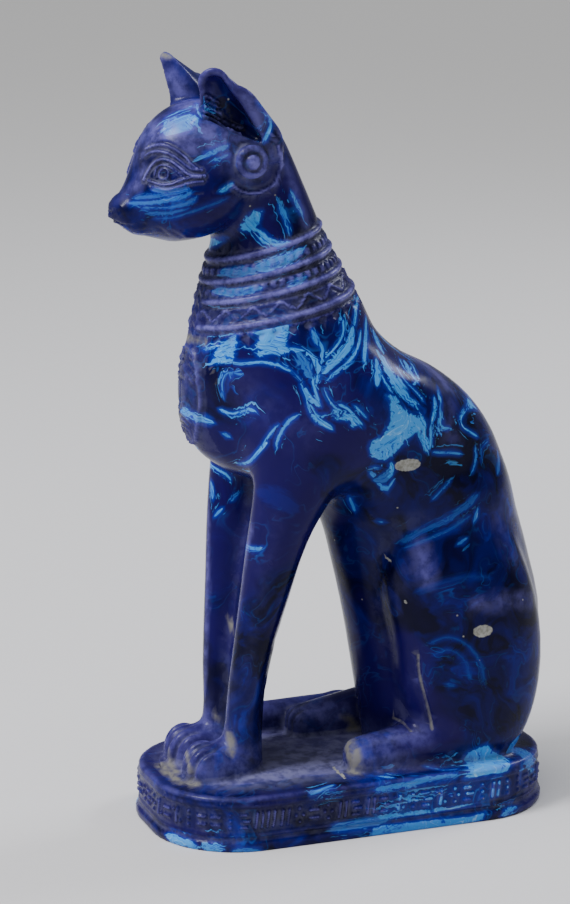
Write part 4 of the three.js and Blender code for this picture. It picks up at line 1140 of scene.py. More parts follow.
class Surface:
    """The cat's mesh with what its carving and marbling come to at each point."""

    def __init__(self, settings):
        self.settings = settings
        self.azure, self.chips, self.grooves = [], [], []
        lines = (grid_lines(run) for run in (GRID_X, GRID_Y, GRID_Z))
        points, faces = surface_net(cat_form, *lines)
        points, faces = thin(points, faces, self.wanted(points) > EDGE["even"], THIN_SHARE)
        self.points, self.faces = settle(cat_form, points, passes=2, reach=0.6), faces
        self.lay_marks(BVHTree.FromPolygons(self.points.tolist(), faces.tolist()))
        for _ in range(REFINE_PASSES):
            self.points, self.faces = refine(cat_form, self.points, self.faces, self.wanted)

    def lay_marks(self, tree):
        """Lays the carving's lines and the marks of the photograph on the surface."""
        def lay(places):
            return on_surface(tree, curve_through(places))

        def lay_both(half, strength, places):
            path = lay(places)
            return (half, strength, path), (half, strength, path * MIRROR)

        self.face_lines = [line for row in FACE_LINES.values() for line in lay_both(*row)]
        self.face_lines += [(half, stands, lay(places)) for half, stands, places in EAR_LINES.values()]
        spot = on_surface(tree, [IRIS_PLACE])[0]
        self.irises = [spot, spot * MIRROR]
        self.grooves = [(deep, half, lay(places)) for deep, half, places in GROOVES.values()]
        for half, strength, places in AZURE_MARKS.values():
            path = lay(places)
            mirror, shift = self.sides(path[:, 2].min())[1]
            hidden = settle(cat_form, path * mirror + shift, passes=5, reach=12)
            self.azure += [(half * PIXEL, strength, path), (half * PIXEL, strength, hidden)]
        self.patches = []
        for strength, outline in AZURE_PATCHES.values():
            edge = on_surface(tree, outline)
            middle = edge.mean(0)
            radius = np.linalg.norm(edge - middle, axis=1).max() + 2
            self.patches.append((middle, radius, strength, outline))
        # Bloom marks, several of them painted sheen, highlight, reflection or light on a shaded foot.
        self.bloom_and_sheen = [mark for half, strength, places in BLOOM_AND_SHEEN.values()
                      for mark in lay_both(half * PIXEL, strength, places)]
        self.folds = [(half * PIXEL, lay(places)) for half, places in DARK_FOLDS.values()]
        self.residue = [(half * PIXEL, lay(places)) for half, places in RESIDUE.values()]
        self.chips = [(on_surface(tree, [place])[0], long * PIXEL, tall * PIXEL, lean)
                      for place, long, tall, lean in CHIPS.values()]
        self.specks = on_surface(tree, SPECKS)

    def wanted(self, p):
        """The longest edge that the mesh may have at a place."""
        x, y, z = p.T
        side = np.abs(x)
        offs = above_ridges(y, z)
        rim = plinth_outline(x, y) > -PLINTH_SIDE - 1
        eye = np.hypot(y - EYE_MIDDLE[0], (z - EYE_MIDDLE[1]) * 1.15)
        toes = between(z, *TOES_LEVELS)
        hind_toes = between(y, HIND_TOE_RIGHT - 2, HIND_TOE_LEFT + 9)
        regions = {
            "head": z > HEAD_LOW,
            "feet": between(z, *FEET_LEVELS) & (y < 12),
            "forepaws": toes & (side < 19) & (y < TOE_REACH + 6),
            "hind_toes": toes & (side > 11) & hind_toes,
            "collar": (offs[0] < COLLAR_ABOVE) & (offs[3] > -5.2),
            "pendant": (side < 11.5) & (y < CHEST_FRONT) & between(z, 119, PENDANT_LEVELS[1]),
            "eyes": (eye < EYE_REACH) & (side > 4) & (z > 197),
            "earrings": np.hypot(y + 35, z - 206.5) < 9.5,
            "cheeks": between(z, *CHEEK_LEVELS) & (y < -42),
            "ears": (z > EAR_LOW) & (side > 8),
            "near_ear": between(z, *HATCHING_LEVELS) & (x > 5) & (y < -43),
            "band": between(z, 5.8, 13.6) & rim,
            "plinth_foot": (z <= 5.8) & (z > 0.3) & rim,
            "plinth_shoulder": (z >= 13.6) & (z < 18) & rim,
        }
        size = np.full(len(p), EDGE["plain"])

        def limit(where, place):
            size[where] = np.minimum(size[where], EDGE[place])

        for place, where in regions.items():
            limit(where, place)
        for half, _, path in self.azure:
            limit(distance_to(p, path, half + 1) < half + 0.9, "marbled")
        for _, _, path in self.grooves:
            limit(distance_to(p, path, 3) < 1.5, "groove")
        for spot, long, _, _ in self.chips:
            limit(np.linalg.norm(p - spot, axis=1) < long + 0.6, "chip")
        return size

    def relief(self, p):
        """How far the carving stands out of the form."""
        x, y, z = p.T
        front = (y < PENDANT_FORE) & between(z, *PENDANT_LEVELS)
        hung, cover = pendant_relief(x, z)
        rise = collar_relief(x, y, z) * (1 - cover * front) + hung * front
        for half, stands, path in self.face_lines:
            off = distance_to(p, path, 3)
            rise += stands * (bump(off, half) - LINE_SHOULDER * bump(off - 2.2 * half, half))
        for spot in self.irises:
            off = np.linalg.norm(p - spot, axis=1) - IRIS_RADIUS
            rise += IRIS_RING * bump(off, 0.34) + IRIS_STANDS * plate(off, 0.5)
        ring = np.hypot(y - EARRING_CENTRE[1], z - EARRING_CENTRE[2])
        on_ring = (np.abs(x) > EARRING_CENTRE[0] - 1) * (ring < EARRING_RADIUS + 1)
        for radius, stands, half in EARRING_LINES:
            rise += on_ring * stands * bump(ring - radius, half)
        rise += whisker_relief(x, y, z) + toe_relief(x, y, z)
        on_side = (plinth_outline(x, y) > -PLINTH_SIDE) & (z < PLINTH_SIDE_TOP)
        rise += band_strokes(x, y, z, self.settings.seed) * on_side
        for deep, half, path in self.grooves:
            rise -= deep * bump(distance_to(p, path, 2), half)
        return rise * self.settings.carving_depth

    def chip_field(self, p):
        """How deep a place lies in a chip or speck, in mm, under nought outside."""
        field = np.full(len(p), -2.0)
        for spot, long, tall, lean in self.chips:
            d = p - spot
            along = d[:, 1] * math.cos(lean) - d[:, 2] * math.sin(lean)
            up = d[:, 2] * math.cos(lean) + d[:, 1] * math.sin(lean)
            off = np.where(np.abs(d[:, 0]) < 6, ellipse(along, up, long, tall), 9)
            field = np.maximum(field, -off)
        for spot in self.specks:
            field = np.maximum(field, 0.3 - np.linalg.norm(p - spot, axis=1))
        return field

    def marbling(self, p, normals, faces):
        """For each corner of each face: its place along and across the nearest fold and the fold's half
        width there, in mm, and the fold's strength."""
        middles = p[faces].mean(1)
        deepest = np.full(len(faces), -AZURE_REACH)
        chosen = np.full(len(faces), -1)
        for number, (half, _, path) in enumerate(self.azure):
            near, off, along, _, _, run = along_path(middles, path, half + AZURE_REACH)
            depth = fold_width(half, np.clip(along, 0, run), run) - off
            deeper = depth > deepest[near]
            deepest[near[deeper]] = depth[deeper]
            chosen[near[deeper]] = number
        flow = np.zeros((len(faces), 3, 3))
        flow[..., 2] = -AZURE_REACH
        glow = np.zeros((len(faces), 3))
        for number, (half, strength, path) in enumerate(self.azure):
            mine = np.flatnonzero(chosen == number)
            corners = faces[mine].ravel()
            near, _, along, gap, way, run = along_path(p[corners], path, half + 3 * AZURE_REACH)
            across = (np.cross(gap, way) * normals[corners[near]]).sum(1)
            found = np.zeros((len(corners), 3))
            start = FOLD_APART * number
            found[near] = np.stack([along + start, across, fold_width(half, along, run)], 1)
            flow[mine] = found.reshape(-1, 3, 3)
            glow[mine] = strength
        return flow.reshape(-1, 3), glow.ravel()

    def patch_field(self, p):
        """How deep a place lies in a whole patch of turquoise, in mm, and how strong the patch is."""
        field = np.full(len(p), -AZURE_REACH)
        strength = np.zeros(len(p))
        for middle, radius, strong, outline in self.patches:
            for mirror, shift in self.sides(middle[2]):
                shown = (p - shift) * mirror
                near = np.flatnonzero(np.linalg.norm(shown - middle, axis=1) < radius)
                depth = inside_outline(in_picture(shown[near]), outline) * PIXEL
                deeper = depth > field[near]
                field[near[deeper]] = depth[deeper]
                strength[near[deeper]] = strong
        return field, strength

    def sides(self, height):
        """The shown side and the hidden one: which way round each is and how far it is moved."""
        moved = HIDDEN_SHIFT if height > HIDDEN_LEAST_HEIGHT else (0.0, 0.0, 0.0)
        return (np.ones(3), np.zeros(3)), (MIRROR, np.array(moved))

    def fold_field(self, p, rise):
        """How deep a place lies in a dark fold or between the band's strokes, in mm."""
        field = np.where(between(p[:, 2], BAND_LOW, BAND_HIGH), 0.7 - 2.4 * rise, -2.0)
        for half, path in self.folds:
            field = np.maximum(field, half - distance_to(p, path, half + 2))
        return field

    def bloom_and_sheen_field(self, p, rise, cavity):
        """Violet grey bloom on rubbed carving and in the photograph's places, one where it is thick. It is
        partly real bloom and partly painted sheen and highlight on crests and lit places.
        """
        x, y, z = p.T
        hung = pendant_relief(x, z)[1] * (y < PENDANT_FORE) * (z < PENDANT_LEVELS[1])
        on_side = z < PLINTH_SIDE_TOP
        # Crests of the carving, convex edges and the band's strokes are made paler: partly rubbed wear,
        # partly painted highlight.
        raised = np.clip((rise - 0.25) * 1.5, 0, 0.75) * (z > PENDANT_LEVELS[0]) * (1 - 0.8 * hung)
        ridges = np.clip(-cavity * 1.5 - 0.12, 0, 0.5) * np.where(on_side, 0.5, 1)
        strokes = 0.9 * np.clip(rise - 0.45, 0, 0.4) * on_side
        found = raised + ridges + strokes
        for half, strength, path in self.bloom_and_sheen:
            found = np.maximum(found, strength * plate(distance_to(p, path, 2 * half) - half, 2 * half))
        feet = (z > PLINTH_HEIGHT + 1) * np.clip((31 - z) / 8, 0, 1) * np.clip((16 - y) / 10, 0, 1)
        # Taking the colour out of hollows paints shade in the grooves, and the return takes most of it off
        # the lower cheeks and jaw.
        grooves = np.clip(cavity * 4.5 - 0.1, 0, 0.9)
        return np.maximum(found, 0.42 * feet) * (1 - grooves) * (1 - 0.8 * self.jaw(p))

    def jaw(self, p):
        """One on the lower cheeks and jaw, nought elsewhere."""
        _, y, z = p.T
        return np.clip((201 - z) / 5, 0, 1) * (z > HEAD_LOW) * np.clip((CHEST_FRONT - y) / 6, 0, 1)

    def residue_field(self, p):
        """Beige residue in grooves and round the feet, one where it is thick."""
        found = np.zeros(len(p))
        for half, path in self.residue:
            found = np.maximum(found, plate(distance_to(p, path, half + 3) - half, min(2.0, 2 * half)))
        return found

    def dust(self, p, rise, cavity):
        """Grey dust in the carving and on the plinth's top, one where it is thick."""
        x, y, z = p.T
        grooves = np.clip(cavity * 1.2, 0, 0.4) * (z < 214) * (1 - self.jaw(p))
        inward = -plinth_outline(x, y)
        top = between(z, PLINTH_HEIGHT - 0.4, PLINTH_HEIGHT + 2.6) & (inward > PLINTH_SIDE)
        settled = 0.72 * top * np.clip((inward - 4) / 13, 0, 1)
        offs = above_ridges(y, z)
        hung = (np.abs(x) < 10) & (y < CHEST_FRONT) & between(z, 120, PENDANT_LEVELS[1])
        carved = ((offs[0] < 2) & (offs[3] > -2)) | hung
        in_carving = carved * (0.04 + 0.14 * np.clip(0.3 - rise, 0, 0.6) / 0.6)
        band = between(z, 5.5, 13.8) & (inward < PLINTH_SIDE)
        in_band = band * 0.08 * np.clip(0.25 - rise, 0, 0.3) / 0.3
        return np.max([grooves, settled, in_carving, in_band], 0)


def srgb(code):
    """Linear red, green and blue of an sRGB hex colour."""
    parts = [int(code[i:i + 2], 16) / 255 for i in (1, 3, 5)]
    return tuple(c / 12.92 if c <= 0.04045 else ((c + 0.055) / 1.055) ** 2.4 for c in parts)


def opaque(colour):
    """A colour with full alpha."""
    return tuple(colour) + (1.0,)


def add_node(tree, kind, inputs=None, output=0, stops=(), **settings):
    """Adds a node with its settings, its inputs' values or links and its ramp's stops; gives an output."""
    node = tree.nodes.new(kind)
    for name, value in settings.items():
        setattr(node, name, value)
    for name, value in (inputs or {}).items():
        if isinstance(value, bpy.types.NodeSocket):
            tree.links.new(value, node.inputs[name])
        else:
            node.inputs[name].default_value = value
    for number, (position, colour) in enumerate(stops):
        ramp = node.color_ramp.elements
        element = ramp[number] if number < 2 else ramp.new(position)
        element.position = position
        element.color = opaque(colour)
    return node.outputs[output] if node.outputs else node


def new_material(name):
    """An empty material, and what adds nodes to it."""
    material = bpy.data.materials.new(name)
    material.use_nodes = True
    material.node_tree.nodes.clear()
    return material, partial(add_node, material.node_tree)


COORDINATES, NOISE, RAMP = "ShaderNodeTexCoord", "ShaderNodeTexNoise", "ShaderNodeValToRGB"
MATH, VECTOR_MATH, RANGE = "ShaderNodeMath", "ShaderNodeVectorMath", "ShaderNodeMapRange"
MIX, GIVEN, CELLS = "ShaderNodeMix", "ShaderNodeAttribute", "ShaderNodeTexVoronoi"
SHADER, OUTPUT, BUMP = "ShaderNodeBsdfPrincipled", "ShaderNodeOutputMaterial", "ShaderNodeBump"
SOFT, COLOUR = {"interpolation_type": "SMOOTHSTEP"}, {"data_type": "RGBA"}


# What each pattern of the material measures, in mm: a swirl's or cloud's width, a strand's length, a
# grain's size or the pinholes' spacing.
PATTERN = {
    "slow_swirl": 34, "quick_swirl": 12, "cloud": 28, "violet_cloud": 60, "thread": 40,
    "thread_patch": 24, "strand": 14, "bend": 9, "rub": 4, "crumb": 1.1, "pinhole": 11, "smear": 9,
    "ripple": 7, "fibre": 4,
}


def folded_places(node, mm):
    """Where each place lay before the wet mix was folded over, by a slow swirl and then a quick one."""
    slow = node(NOISE, {"Vector": mm, "Scale": 1 / PATTERN["slow_swirl"], "Detail": 2.0}, "Color")
    folded = node(VECTOR_MATH, {0: slow, 1: (100,) * 3, 2: mm}, operation="MULTIPLY_ADD")
    quick = node(NOISE, {"Vector": folded, "Scale": 1 / PATTERN["quick_swirl"], "Detail": 2.0}, "Color")
    return folded, node(VECTOR_MATH, {0: quick, 1: (34,) * 3, 2: folded}, operation="MULTIPLY_ADD")


def blue_ground(node, settings, folded, swirled):
    """Clouds of dark and brighter blue, with violet ones over them."""
    scale = 1 / PATTERN["cloud"]
    tone = node(NOISE, {"Vector": swirled, "Scale": scale, "Detail": 3.0, "Roughness": 0.5}, "Fac")
    dark, blue = settings.ground_dark, settings.ground_blue
    body = node(RAMP, {0: tone}, stops=[(0.4, dark), (0.6, blue), (0.84, settings.ground_bright)])
    wide = node(NOISE, {"Vector": folded, "Scale": 1 / PATTERN["violet_cloud"], "Detail": 2.0}, "Fac")
    violet = node(RANGE, {"Value": wide, "From Min": 0.4, "From Max": 0.56, "To Max": 0.92}, **SOFT)
    return node(MIX, {0: violet, 6: body, 7: opaque(settings.violet)}, 2, **COLOUR)


def fold_places(node):
    """The mesh's account of the turquoise: the place along and across the nearest fold and the fold's
    half width, how deep a place lies in a fold or patch, whether it is in a patch, and its strength."""
    flow = node(GIVEN, output="Vector", attribute_name="flow")
    parts = node("ShaderNodeSeparateXYZ", {0: flow}).node.outputs
    glow = node(GIVEN, output="Fac", attribute_name="glow")
    side = node(MATH, {0: parts[1]}, operation="ABSOLUTE")
    depth = node(MATH, {0: parts[2], 1: side}, operation="SUBTRACT")
    patch = node(GIVEN, output="Fac", attribute_name="patch")
    patch_glow = node(GIVEN, output="Fac", attribute_name="patch_glow")
    past_fold = node(MATH, {0: patch, 1: depth}, operation="SUBTRACT")
    in_patch = node(RANGE, {"Value": past_fold, "From Min": -0.2, "From Max": 0.2})
    glow = node(MIX, {0: in_patch, 2: glow, 3: patch_glow})
    depth = node(MATH, {0: depth, 1: patch}, operation="MAXIMUM")
    return flow, parts[2], depth, in_patch, glow


def loose_threads(node, settings, body, folded, swirled, depth):
    """Thin contours of a folded pattern, here and there over the ground and closer near the turquoise."""
    wave = node(NOISE, {"Vector": swirled, "Scale": 1 / PATTERN["thread"], "Detail": 1.0}, "Fac")
    turns = node(MATH, {0: wave, 1: 9}, operation="MULTIPLY")
    contour = node(MATH, {0: turns, 1: 0.5}, operation="PINGPONG")
    thread = node(RANGE, {"Value": contour, "From Min": 0.0, "From Max": 0.16,
                          "To Min": 1.0, "To Max": 0.0}, **SOFT)
    near = node(RANGE, {"Value": depth, "From Min": -4.5, "From Max": -0.5,
                        "To Min": 0.12, "To Max": 0.34})
    patchy = node(NOISE, {"Vector": folded, "Scale": 1 / PATTERN["thread_patch"], "Detail": 2.0}, "Fac")
    patchy = node(RANGE, {"Value": patchy, "From Min": 0.46, "From Max": 0.62}, **SOFT)
    for share in (patchy, near):
        thread = node(MATH, {0: thread, 1: share}, operation="MULTIPLY")
    return node(MIX, {0: thread, 6: body, 7: opaque(settings.azure_deep)}, 2, **COLOUR)


def turquoise_folds(node, settings, body, swirled, folds):
    """Turquoise drawn out into strands along each fold, with loose edges and a bright blue halo."""
    flow, half_width, depth, in_patch, glow = folds
    drawn = node(VECTOR_MATH, {0: flow, 1: (1 / PATTERN["strand"], 1.0, 0.0)}, operation="MULTIPLY")
    bent = node(NOISE, {"Vector": swirled, "Scale": 1 / PATTERN["bend"], "Detail": 1.0}, "Color")
    drawn = node(VECTOR_MATH, {0: bent, 1: (1.2, 3.2, 0.0), 2: drawn}, operation="MULTIPLY_ADD")
    strand = node(NOISE, {"Vector": drawn, "Scale": 0.8, "Detail": 3.0, "Roughness": 0.55}, "Fac")
    wide = node(MATH, {0: half_width, 1: 0.9}, operation="MAXIMUM")
    wide = node(MIX, {0: in_patch, 2: half_width, 3: wide})
    loose = node(MATH, {0: wide, 1: 2.0, 2: 0.5}, operation="MULTIPLY_ADD")
    uneven = node(MATH, {0: strand, 1: 0.53}, operation="SUBTRACT")
    loose = node(MATH, {0: uneven, 1: loose}, operation="MULTIPLY")
    reach = node(MATH, {0: depth, 1: loose}, operation="ADD")
    fold = node(GIVEN, output="Fac", attribute_name="fold")
    outside_fold = node(MATH, {0: fold, 1: -1.0}, operation="MULTIPLY")
    reach = node(MATH, {0: reach, 1: outside_fold}, operation="MINIMUM")

    halo = node(RANGE, {"Value": reach, "From Min": -1.5, "From Max": 0.7, "To Max": 0.8}, **SOFT)
    soft = node(RANGE, {"Value": glow, "From Max": 0.6})
    halo = node(MATH, {0: halo, 1: soft}, operation="MULTIPLY")
    body = node(MIX, {0: halo, 6: body, 7: opaque(settings.ground_bright)}, 2, **COLOUR)
    fine = node(NOISE, {"Vector": drawn, "Scale": 1.9, "Detail": 3.0, "Roughness": 0.6}, "Fac")
    azure = node(RAMP, {0: fine}, stops=[
        (0.33, settings.ground_bright), (0.4, settings.azure_deep), (0.47, settings.azure),
        (0.6, settings.azure), (0.72, settings.azure_pale)])
    inside = node(RANGE, {"Value": reach, "From Min": 0.0, "From Max": 0.3}, **SOFT)

    # Strands that run beside a fold, fewer the farther out.
    beside = node(VECTOR_MATH, {0: drawn, 1: (0.6, 1.0, 1.0), 2: (5.0, 0.0, 0.0)},
                  operation="MULTIPLY_ADD")
    beside = node(NOISE, {"Vector": beside, "Scale": 0.9, "Detail": 2.0}, "Fac")
    apart = node(RANGE, {"Value": depth, "From Min": -4.0, "To Min": 0.7, "To Max": 0.53})
    apart = node(MATH, {0: beside, 1: apart}, operation="SUBTRACT")
    beside = node(RANGE, {"Value": apart, "From Max": 0.04, "To Max": 0.8}, **SOFT)
    inside = node(MATH, {0: inside, 1: beside}, operation="MAXIMUM")
    clear = node(RANGE, {"Value": glow, "From Min": 0.12, "From Max": 0.85}, **SOFT)
    inside = node(MATH, {0: inside, 1: clear}, operation="MULTIPLY")
    return node(MIX, {0: inside, 6: body, 7: azure}, 2, **COLOUR)


def dirt_wear_and_sheen_layers(node, settings, body, mm):
    """Bloom with painted sheen and highlight, dust and beige dirt over the marbling, all of them rubbed off
    here and there.
    """
    scale = 1 / PATTERN["rub"]
    rub = node(NOISE, {"Vector": mm, "Scale": scale, "Detail": 4.0, "Roughness": 0.6}, "Fac")
    rub = node(RANGE, {"Value": rub, "From Min": 0.36, "From Max": 0.64, "To Min": 0.35}, **SOFT)
    laid = {}
    # The first layer is rubbed bloom and painted sheen and highlight in one colour.
    for name, colour in (("rubbed_bloom_and_sheen", settings.bloom_and_sheen), ("dust", settings.dust), ("residue", settings.residue)):
        amount = node(GIVEN, output="Fac", attribute_name=name)
        amount = node(MATH, {0: amount, 1: rub}, operation="MULTIPLY")
        if name == "residue":
            amount = node(RANGE, {"Value": amount, "From Min": 0.1, "From Max": 0.8, "To Max": 0.85})
        body = node(MIX, {0: amount, 6: body, 7: opaque(colour)}, 2, **COLOUR)
        laid[name] = amount
    return body, laid["dust"], laid["residue"]


def bared_filler(node, settings, body, mm):
    """Pale crumbly filler bared in the chips, and pinholes of half a millimetre."""
    scale = 1 / PATTERN["crumb"]
    crumb = node(NOISE, {"Vector": mm, "Scale": scale, "Detail": 4.0, "Roughness": 0.65}, "Fac")
    chip = node(GIVEN, output="Fac", attribute_name="chip")
    chip = node(MATH, {0: crumb, 1: 0.9, 2: chip}, operation="MULTIPLY_ADD")
    chip = node(RANGE, {"Value": chip, "From Min": 0.4, "From Max": 0.62}, **SOFT)
    filler = node(RAMP, {0: crumb}, stops=[(0.34, settings.residue), (0.6, settings.filler)])
    pin = node(CELLS, {"Vector": mm, "Scale": 1 / PATTERN["pinhole"]}, "Distance")
    pin = node(RANGE, {"Value": pin, "From Min": 0.02, "From Max": 0.035, "To Min": 0.8, "To Max": 0.0})
    chip = node(MATH, {0: chip, 1: pin}, operation="MAXIMUM")
    return node(MIX, {0: chip, 6: body, 7: filler}, 2, **COLOUR), chip, crumb


def marbled_lapis(settings):
    """Imitation lapis lazuli: stone powder in resin, marbled while wet, cast, rubbed down and waxed.

    The eye sees a satin, nearly black blue and violet ground, turquoise folds with bands and pale
    threads along their edges, a violet grey bloom on the rubbed carving that is partly painted sheen
    and highlight, with painted shade where it leaves the grooves, dust and beige dirt in the
    grooves, and dull pale filler where the skin is chipped.
    """
    material, node = new_material("marbled_imitation_lapis")
    place = node(COORDINATES, output="Object")
    mm = node(VECTOR_MATH, {0: place, 1: (1000,) * 3}, operation="MULTIPLY")
    folded, swirled = folded_places(node, mm)
    body = blue_ground(node, settings, folded, swirled)
    folds = fold_places(node)
    body = loose_threads(node, settings, body, folded, swirled, folds[2])
    body = turquoise_folds(node, settings, body, swirled, folds)
    body, dust, caked = dirt_wear_and_sheen_layers(node, settings, body, mm)
    body, chip, crumb = bared_filler(node, settings, body, mm)

    # The wax is dull under dust, dirt and in chips, smeared elsewhere, and the skin ripples slightly.
    dull = dust
    for layer in (caked, chip):
        dull = node(MATH, {0: dull, 1: layer}, operation="MAXIMUM")
    rough = node(RANGE, {"Value": dull, "To Min": settings.polish, "To Max": 0.85})
    smear = node(NOISE, {"Vector": mm, "Scale": 1 / PATTERN["smear"], "Detail": 3.0}, "Fac")
    rough = node(MATH, {0: smear, 1: 0.14, 2: rough}, operation="MULTIPLY_ADD")
    grain = node(MATH, {0: dull, 1: 0.2, 2: 0.02}, operation="MULTIPLY_ADD")
    grain = node(MATH, {0: grain, 1: crumb}, operation="MULTIPLY")
    ripple = node(NOISE, {"Vector": mm, "Scale": 1 / PATTERN["ripple"], "Detail": 1.0}, "Fac")
    height = node(MATH, {0: ripple, 1: 0.16, 2: grain}, operation="MULTIPLY_ADD")
    normal = node(BUMP, {"Strength": 0.7, "Distance": MM, "Height": height}, "Normal")
    skin = node(SHADER, {"Base Color": body, "Roughness": rough, "Normal": normal, "IOR": 1.5,
                         "Specular IOR Level": 0.11})
    node(OUTPUT, {"Surface": skin})
    return material


def studio_paper(colour):
    """Matt seamless paper, rolled out under the figure: even, pale and free of shine."""
    material, node = new_material("matt_backdrop_paper")
    place = node(COORDINATES, output="Object")
    fibre = node(NOISE, {"Vector": place, "Scale": 1 / (PATTERN["fibre"] * MM), "Detail": 3.0}, "Fac")
    paler = tuple(min(1.0, c * 1.03) for c in colour)
    tint = node(MIX, {0: fibre, 6: opaque(colour), 7: opaque(paler)}, 2, **COLOUR)
    node(OUTPUT, {"Surface": node(SHADER, {"Base Color": tint, "Roughness": 0.85})})
    return material


def cavity_of(points, faces, normals):
    """How hollow the surface is at each point, from its neighbours."""
    a = faces.ravel()
    b = np.roll(faces, -1, 1).ravel()
    total = np.zeros_like(points)
    count = np.zeros(len(points))
    for p, q in ((a, b), (b, a)):
        np.add.at(total, p, points[q])
        np.add.at(count, p, 1)
    spread = np.zeros(len(points))
    np.add.at(spread, a, np.linalg.norm(points[a] - points[b], axis=1))
    lift = ((total / count[:, None] - points) * normals).sum(1)
    hollow = lift * count / np.maximum(spread, 1e-6)
    for _ in range(2):
        around = np.bincount(a, hollow[b], len(points)) + np.bincount(b, hollow[a], len(points))
        hollow = (hollow + around / count) / 2
    return hollow


def colour_choice(name, description, code):
    """A colour that the user may change."""
    return FloatVectorProperty(name=name, description=description, default=srgb(code), subtype="COLOR",
                               min=0.0, max=1.0)


class CatSettings(bpy.types.PropertyGroup):
    """Sizes and finish of the cat."""
    carving_depth: FloatProperty(
        name="Carving depth", description="Height of the carving, as a share of the modelled height",
        default=1.0, min=0.0, max=2.0, subtype="FACTOR")
    polish: FloatProperty(
        name="Polish roughness", description="Roughness of the waxed casting where it is clean",
        default=0.17, min=0.0, max=1.0, subtype="FACTOR")
    seed: IntProperty(
        name="Stroke seed", description="Chooses the strokes round the plinth's band", default=7)
    ground_dark: colour_choice("Darkest ground", "The marbling's darkest blue", "#030322")
    ground_blue: colour_choice("Blue ground", "The marbling's common blue", "#090a58")
    ground_bright: colour_choice("Bright blue", "Blue round the turquoise folds", "#0f2ea6")
    violet: colour_choice("Violet", "The violet part of the ground", "#17094e")
    azure_deep: colour_choice("Deep turquoise", "Threads and dark bands of the folds", "#1b63c0")
    azure: colour_choice("Turquoise", "Folds of the marbling", "#4499e0")
    azure_pale: colour_choice("Pale turquoise", "Palest bands of the folds", "#98d2f4")
    # Also the colour of the painted sheen and highlight on crests and lit places.
    bloom_and_sheen: colour_choice("Bloom", "Rubbed edges of the carving", "#6e6ab4")
    dust: colour_choice("Dust", "Dust on the plinth and in the carving", "#8080a2")
    residue: colour_choice("Dirt", "Dirt left in the grooves", "#7e7c72")
    filler: colour_choice("Filler", "Filler bared in the chips", "#a2a29c")


class StageSettings(bpy.types.PropertyGroup):
    """Sizes, colours and strengths of the stage."""
    floor_half: FloatProperty(
        name="Floor half width", description="Half the width of the floor", default=9.0, unit="LENGTH")
    floor_colour: colour_choice("Floor colour", "Colour of the floor", "#d9d8d6")
    room_light: FloatProperty(
        name="Room light", description="Strength of the light from all round", default=0.26, min=0.0)
    key_light: FloatProperty(
        name="Key light", description="Strength of the broad light from the upper left", default=1.8, min=0.0)


class CAT_OT_build_figure(bpy.types.Operator):
    """Builds the seated cat with its plinth in place of the plain solid"""
    bl_idname = "seated_cat.build_figure"
    bl_label = "Build Figure"

    def execute(self, context):
        settings = context.scene.seated_cat
        surface = Surface(settings)
        flat, faces = surface.points, surface.faces
        if len(faces) >= MOST_TRIANGLES:
            raise RuntimeError(f"the figure has {len(faces)} triangles")
        slopes = slope_of(cat_form, flat)
        normals = slopes / np.maximum(np.linalg.norm(slopes, axis=1, keepdims=True), 1e-6)
        chip = surface.chip_field(flat)
        rise = surface.relief(flat) - CHIP_DEPTH * np.clip(chip * 1.2, 0, 1)
        rise[flat[:, 2] < UNDERSIDE] = 0
        points = flat + normals * rise[:, None]
        points[:, 2] = np.maximum(points[:, 2], 0)
        mesh = bpy.data.meshes.new("seated_cat")
        mesh.from_pydata((points * MM).tolist(), [], faces.tolist())
        mesh.shade_smooth()
        cavity = cavity_of(points, faces, normals)
        fields = {
            "fold": surface.fold_field(flat, rise),
            "chip": chip,
            "residue": surface.residue_field(flat),
            "dust": surface.dust(flat, rise, cavity),
            # Bloom, partly painted sheen and highlight, with painted shade where it is taken out of the
            # grooves.
            "rubbed_bloom_and_sheen": surface.bloom_and_sheen_field(flat, rise, cavity),
        }
        fields["patch"], fields["patch_glow"] = surface.patch_field(flat)
        for name, values in fields.items():
            layer = mesh.attributes.new(name, "FLOAT", "POINT")
            layer.data.foreach_set("value", values.astype(np.float32))
        flow, glow = surface.marbling(flat, normals, faces)
        mesh.attributes.new("flow", "FLOAT_VECTOR", "CORNER").data.foreach_set("vector", flow.ravel())
        mesh.attributes.new("glow", "FLOAT", "CORNER").data.foreach_set("value", glow)
        figure = bpy.data.objects.new("seated_cat", mesh)
        context.scene.collection.objects.link(figure)
        mesh.materials.append(marbled_lapis(settings))
        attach(figure, "root")
        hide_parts("bastet_cat")
        print("triangles", len(faces))
        return {"FINISHED"}


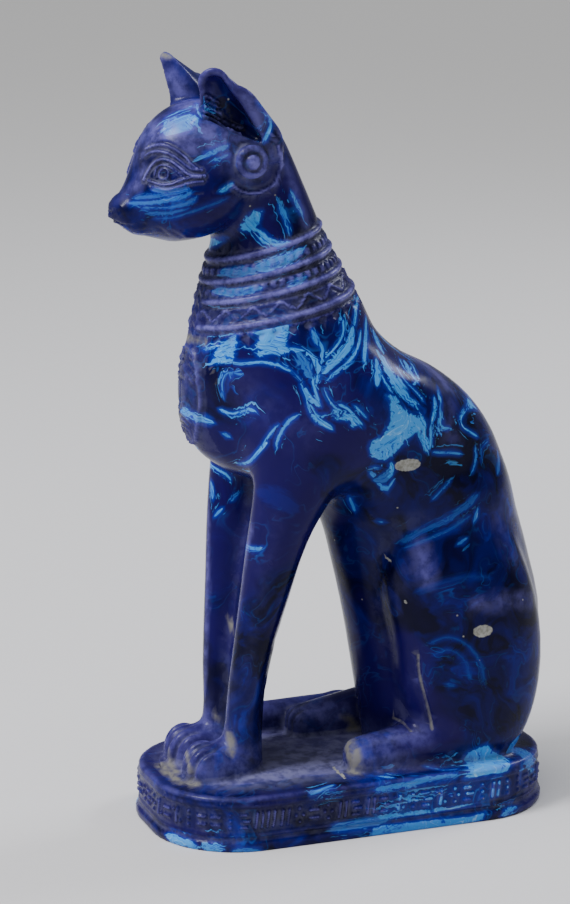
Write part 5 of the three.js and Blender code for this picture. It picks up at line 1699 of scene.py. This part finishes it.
class CAT_OT_build_stage(bpy.types.Operator):
    """Builds the floor, the studio lights and the camera"""
    bl_idname = "seated_cat.build_stage"
    bl_label = "Build Stage"

    def execute(self, context):
        stage = context.scene.seated_cat_stage
        half = stage.floor_half
        mesh = bpy.data.meshes.new("floor")
        corners = [(-half, -half, 0), (half, -half, 0), (half, half, 0), (-half, half, 0)]
        mesh.from_pydata(corners, [], [(0, 1, 2, 3)])
        floor = bpy.data.objects.new("floor", mesh)
        floor.data.materials.append(studio_paper(stage.floor_colour))
        context.scene.collection.objects.link(floor)

        world = bpy.data.worlds.new("studio")
        world.use_nodes = True
        sky = world.node_tree.nodes["Background"]
        sky.inputs["Color"].default_value = opaque(srgb("#dfe2ea"))
        sky.inputs["Strength"].default_value = stage.room_light
        context.scene.world = world

        # Each lamp: kind, how far it stands from the cat's middle across, above and toward the camera in
        # metres, its size in metres or angle in radians, its power and its colour.
        lamps = {
            "key": ("SUN", (-0.5, 1.2, 0.7), 1.1, stage.key_light, "#ffffff"),
            "front_panel": ("AREA", (-0.8, 1.0, 0.7), 0.4, 21.0, "#f6f6ff"),
            "back_panel": ("AREA", (0.9, 0.9, -0.4), 0.4, 9.0, "#eef2ff"),
        }
        back, right, up = (Vector(v) for v in (VIEW_BACK, VIEW_RIGHT, VIEW_UP))
        for name, (kind, (across, rise, toward), size, power, code) in lamps.items():
            off = right * across + up * rise + back * toward
            light = bpy.data.lights.new(name, kind)
            if kind == "SUN":
                light.angle = size
            else:
                light.shape = "SQUARE"
                light.size = size
            light.energy = power
            light.color = srgb(code)
            lamp = bpy.data.objects.new(name, light)
            lamp.location = Vector(VIEW_TARGET * MM) + off
            lamp.rotation_euler = (-off).to_track_quat("-Z", "Y").to_euler()
            context.scene.collection.objects.link(lamp)

        camera = bpy.data.cameras.new("camera")
        camera.sensor_width = SENSOR
        camera.lens = SENSOR * FOCAL_PIXELS / max(PHOTO_SIZE)
        camera.clip_end = 40
        viewer = bpy.data.objects.new("camera", camera)
        viewer.location = Vector(VIEW_EYE * MM)
        viewer.rotation_euler = (-back).to_track_quat("-Z", "Y").to_euler()
        context.scene.collection.objects.link(viewer)
        context.scene.camera = viewer
        return {"FINISHED"}


class CAT_PT_panel(bpy.types.Panel):
    """Sizes and colours of the cat and its stage"""
    bl_idname = "CAT_PT_panel"
    bl_label = "Seated Cat"
    bl_space_type = "VIEW_3D"
    bl_region_type = "UI"
    bl_category = "Seated Cat"

    def draw(self, context):
        layout = self.layout
        for group, operator in ((context.scene.seated_cat, CAT_OT_build_figure),
                                (context.scene.seated_cat_stage, CAT_OT_build_stage)):
            box = layout.box()
            for name in group.__annotations__:
                box.prop(group, name)
            box.operator(operator.bl_idname)


CLASSES = (CatSettings, StageSettings, CAT_OT_build_figure, CAT_OT_build_stage, CAT_PT_panel)


def register():
    for cls in CLASSES:
        bpy.utils.register_class(cls)
    bpy.types.Scene.seated_cat = PointerProperty(type=CatSettings)
    bpy.types.Scene.seated_cat_stage = PointerProperty(type=StageSettings)


def unregister():
    del bpy.types.Scene.seated_cat
    del bpy.types.Scene.seated_cat_stage
    for cls in reversed(CLASSES):
        bpy.utils.unregister_class(cls)


def main():
    register()
    bpy.ops.seated_cat.build_figure()
    bpy.ops.seated_cat.build_stage()


if __name__ == "__main__":
    main()
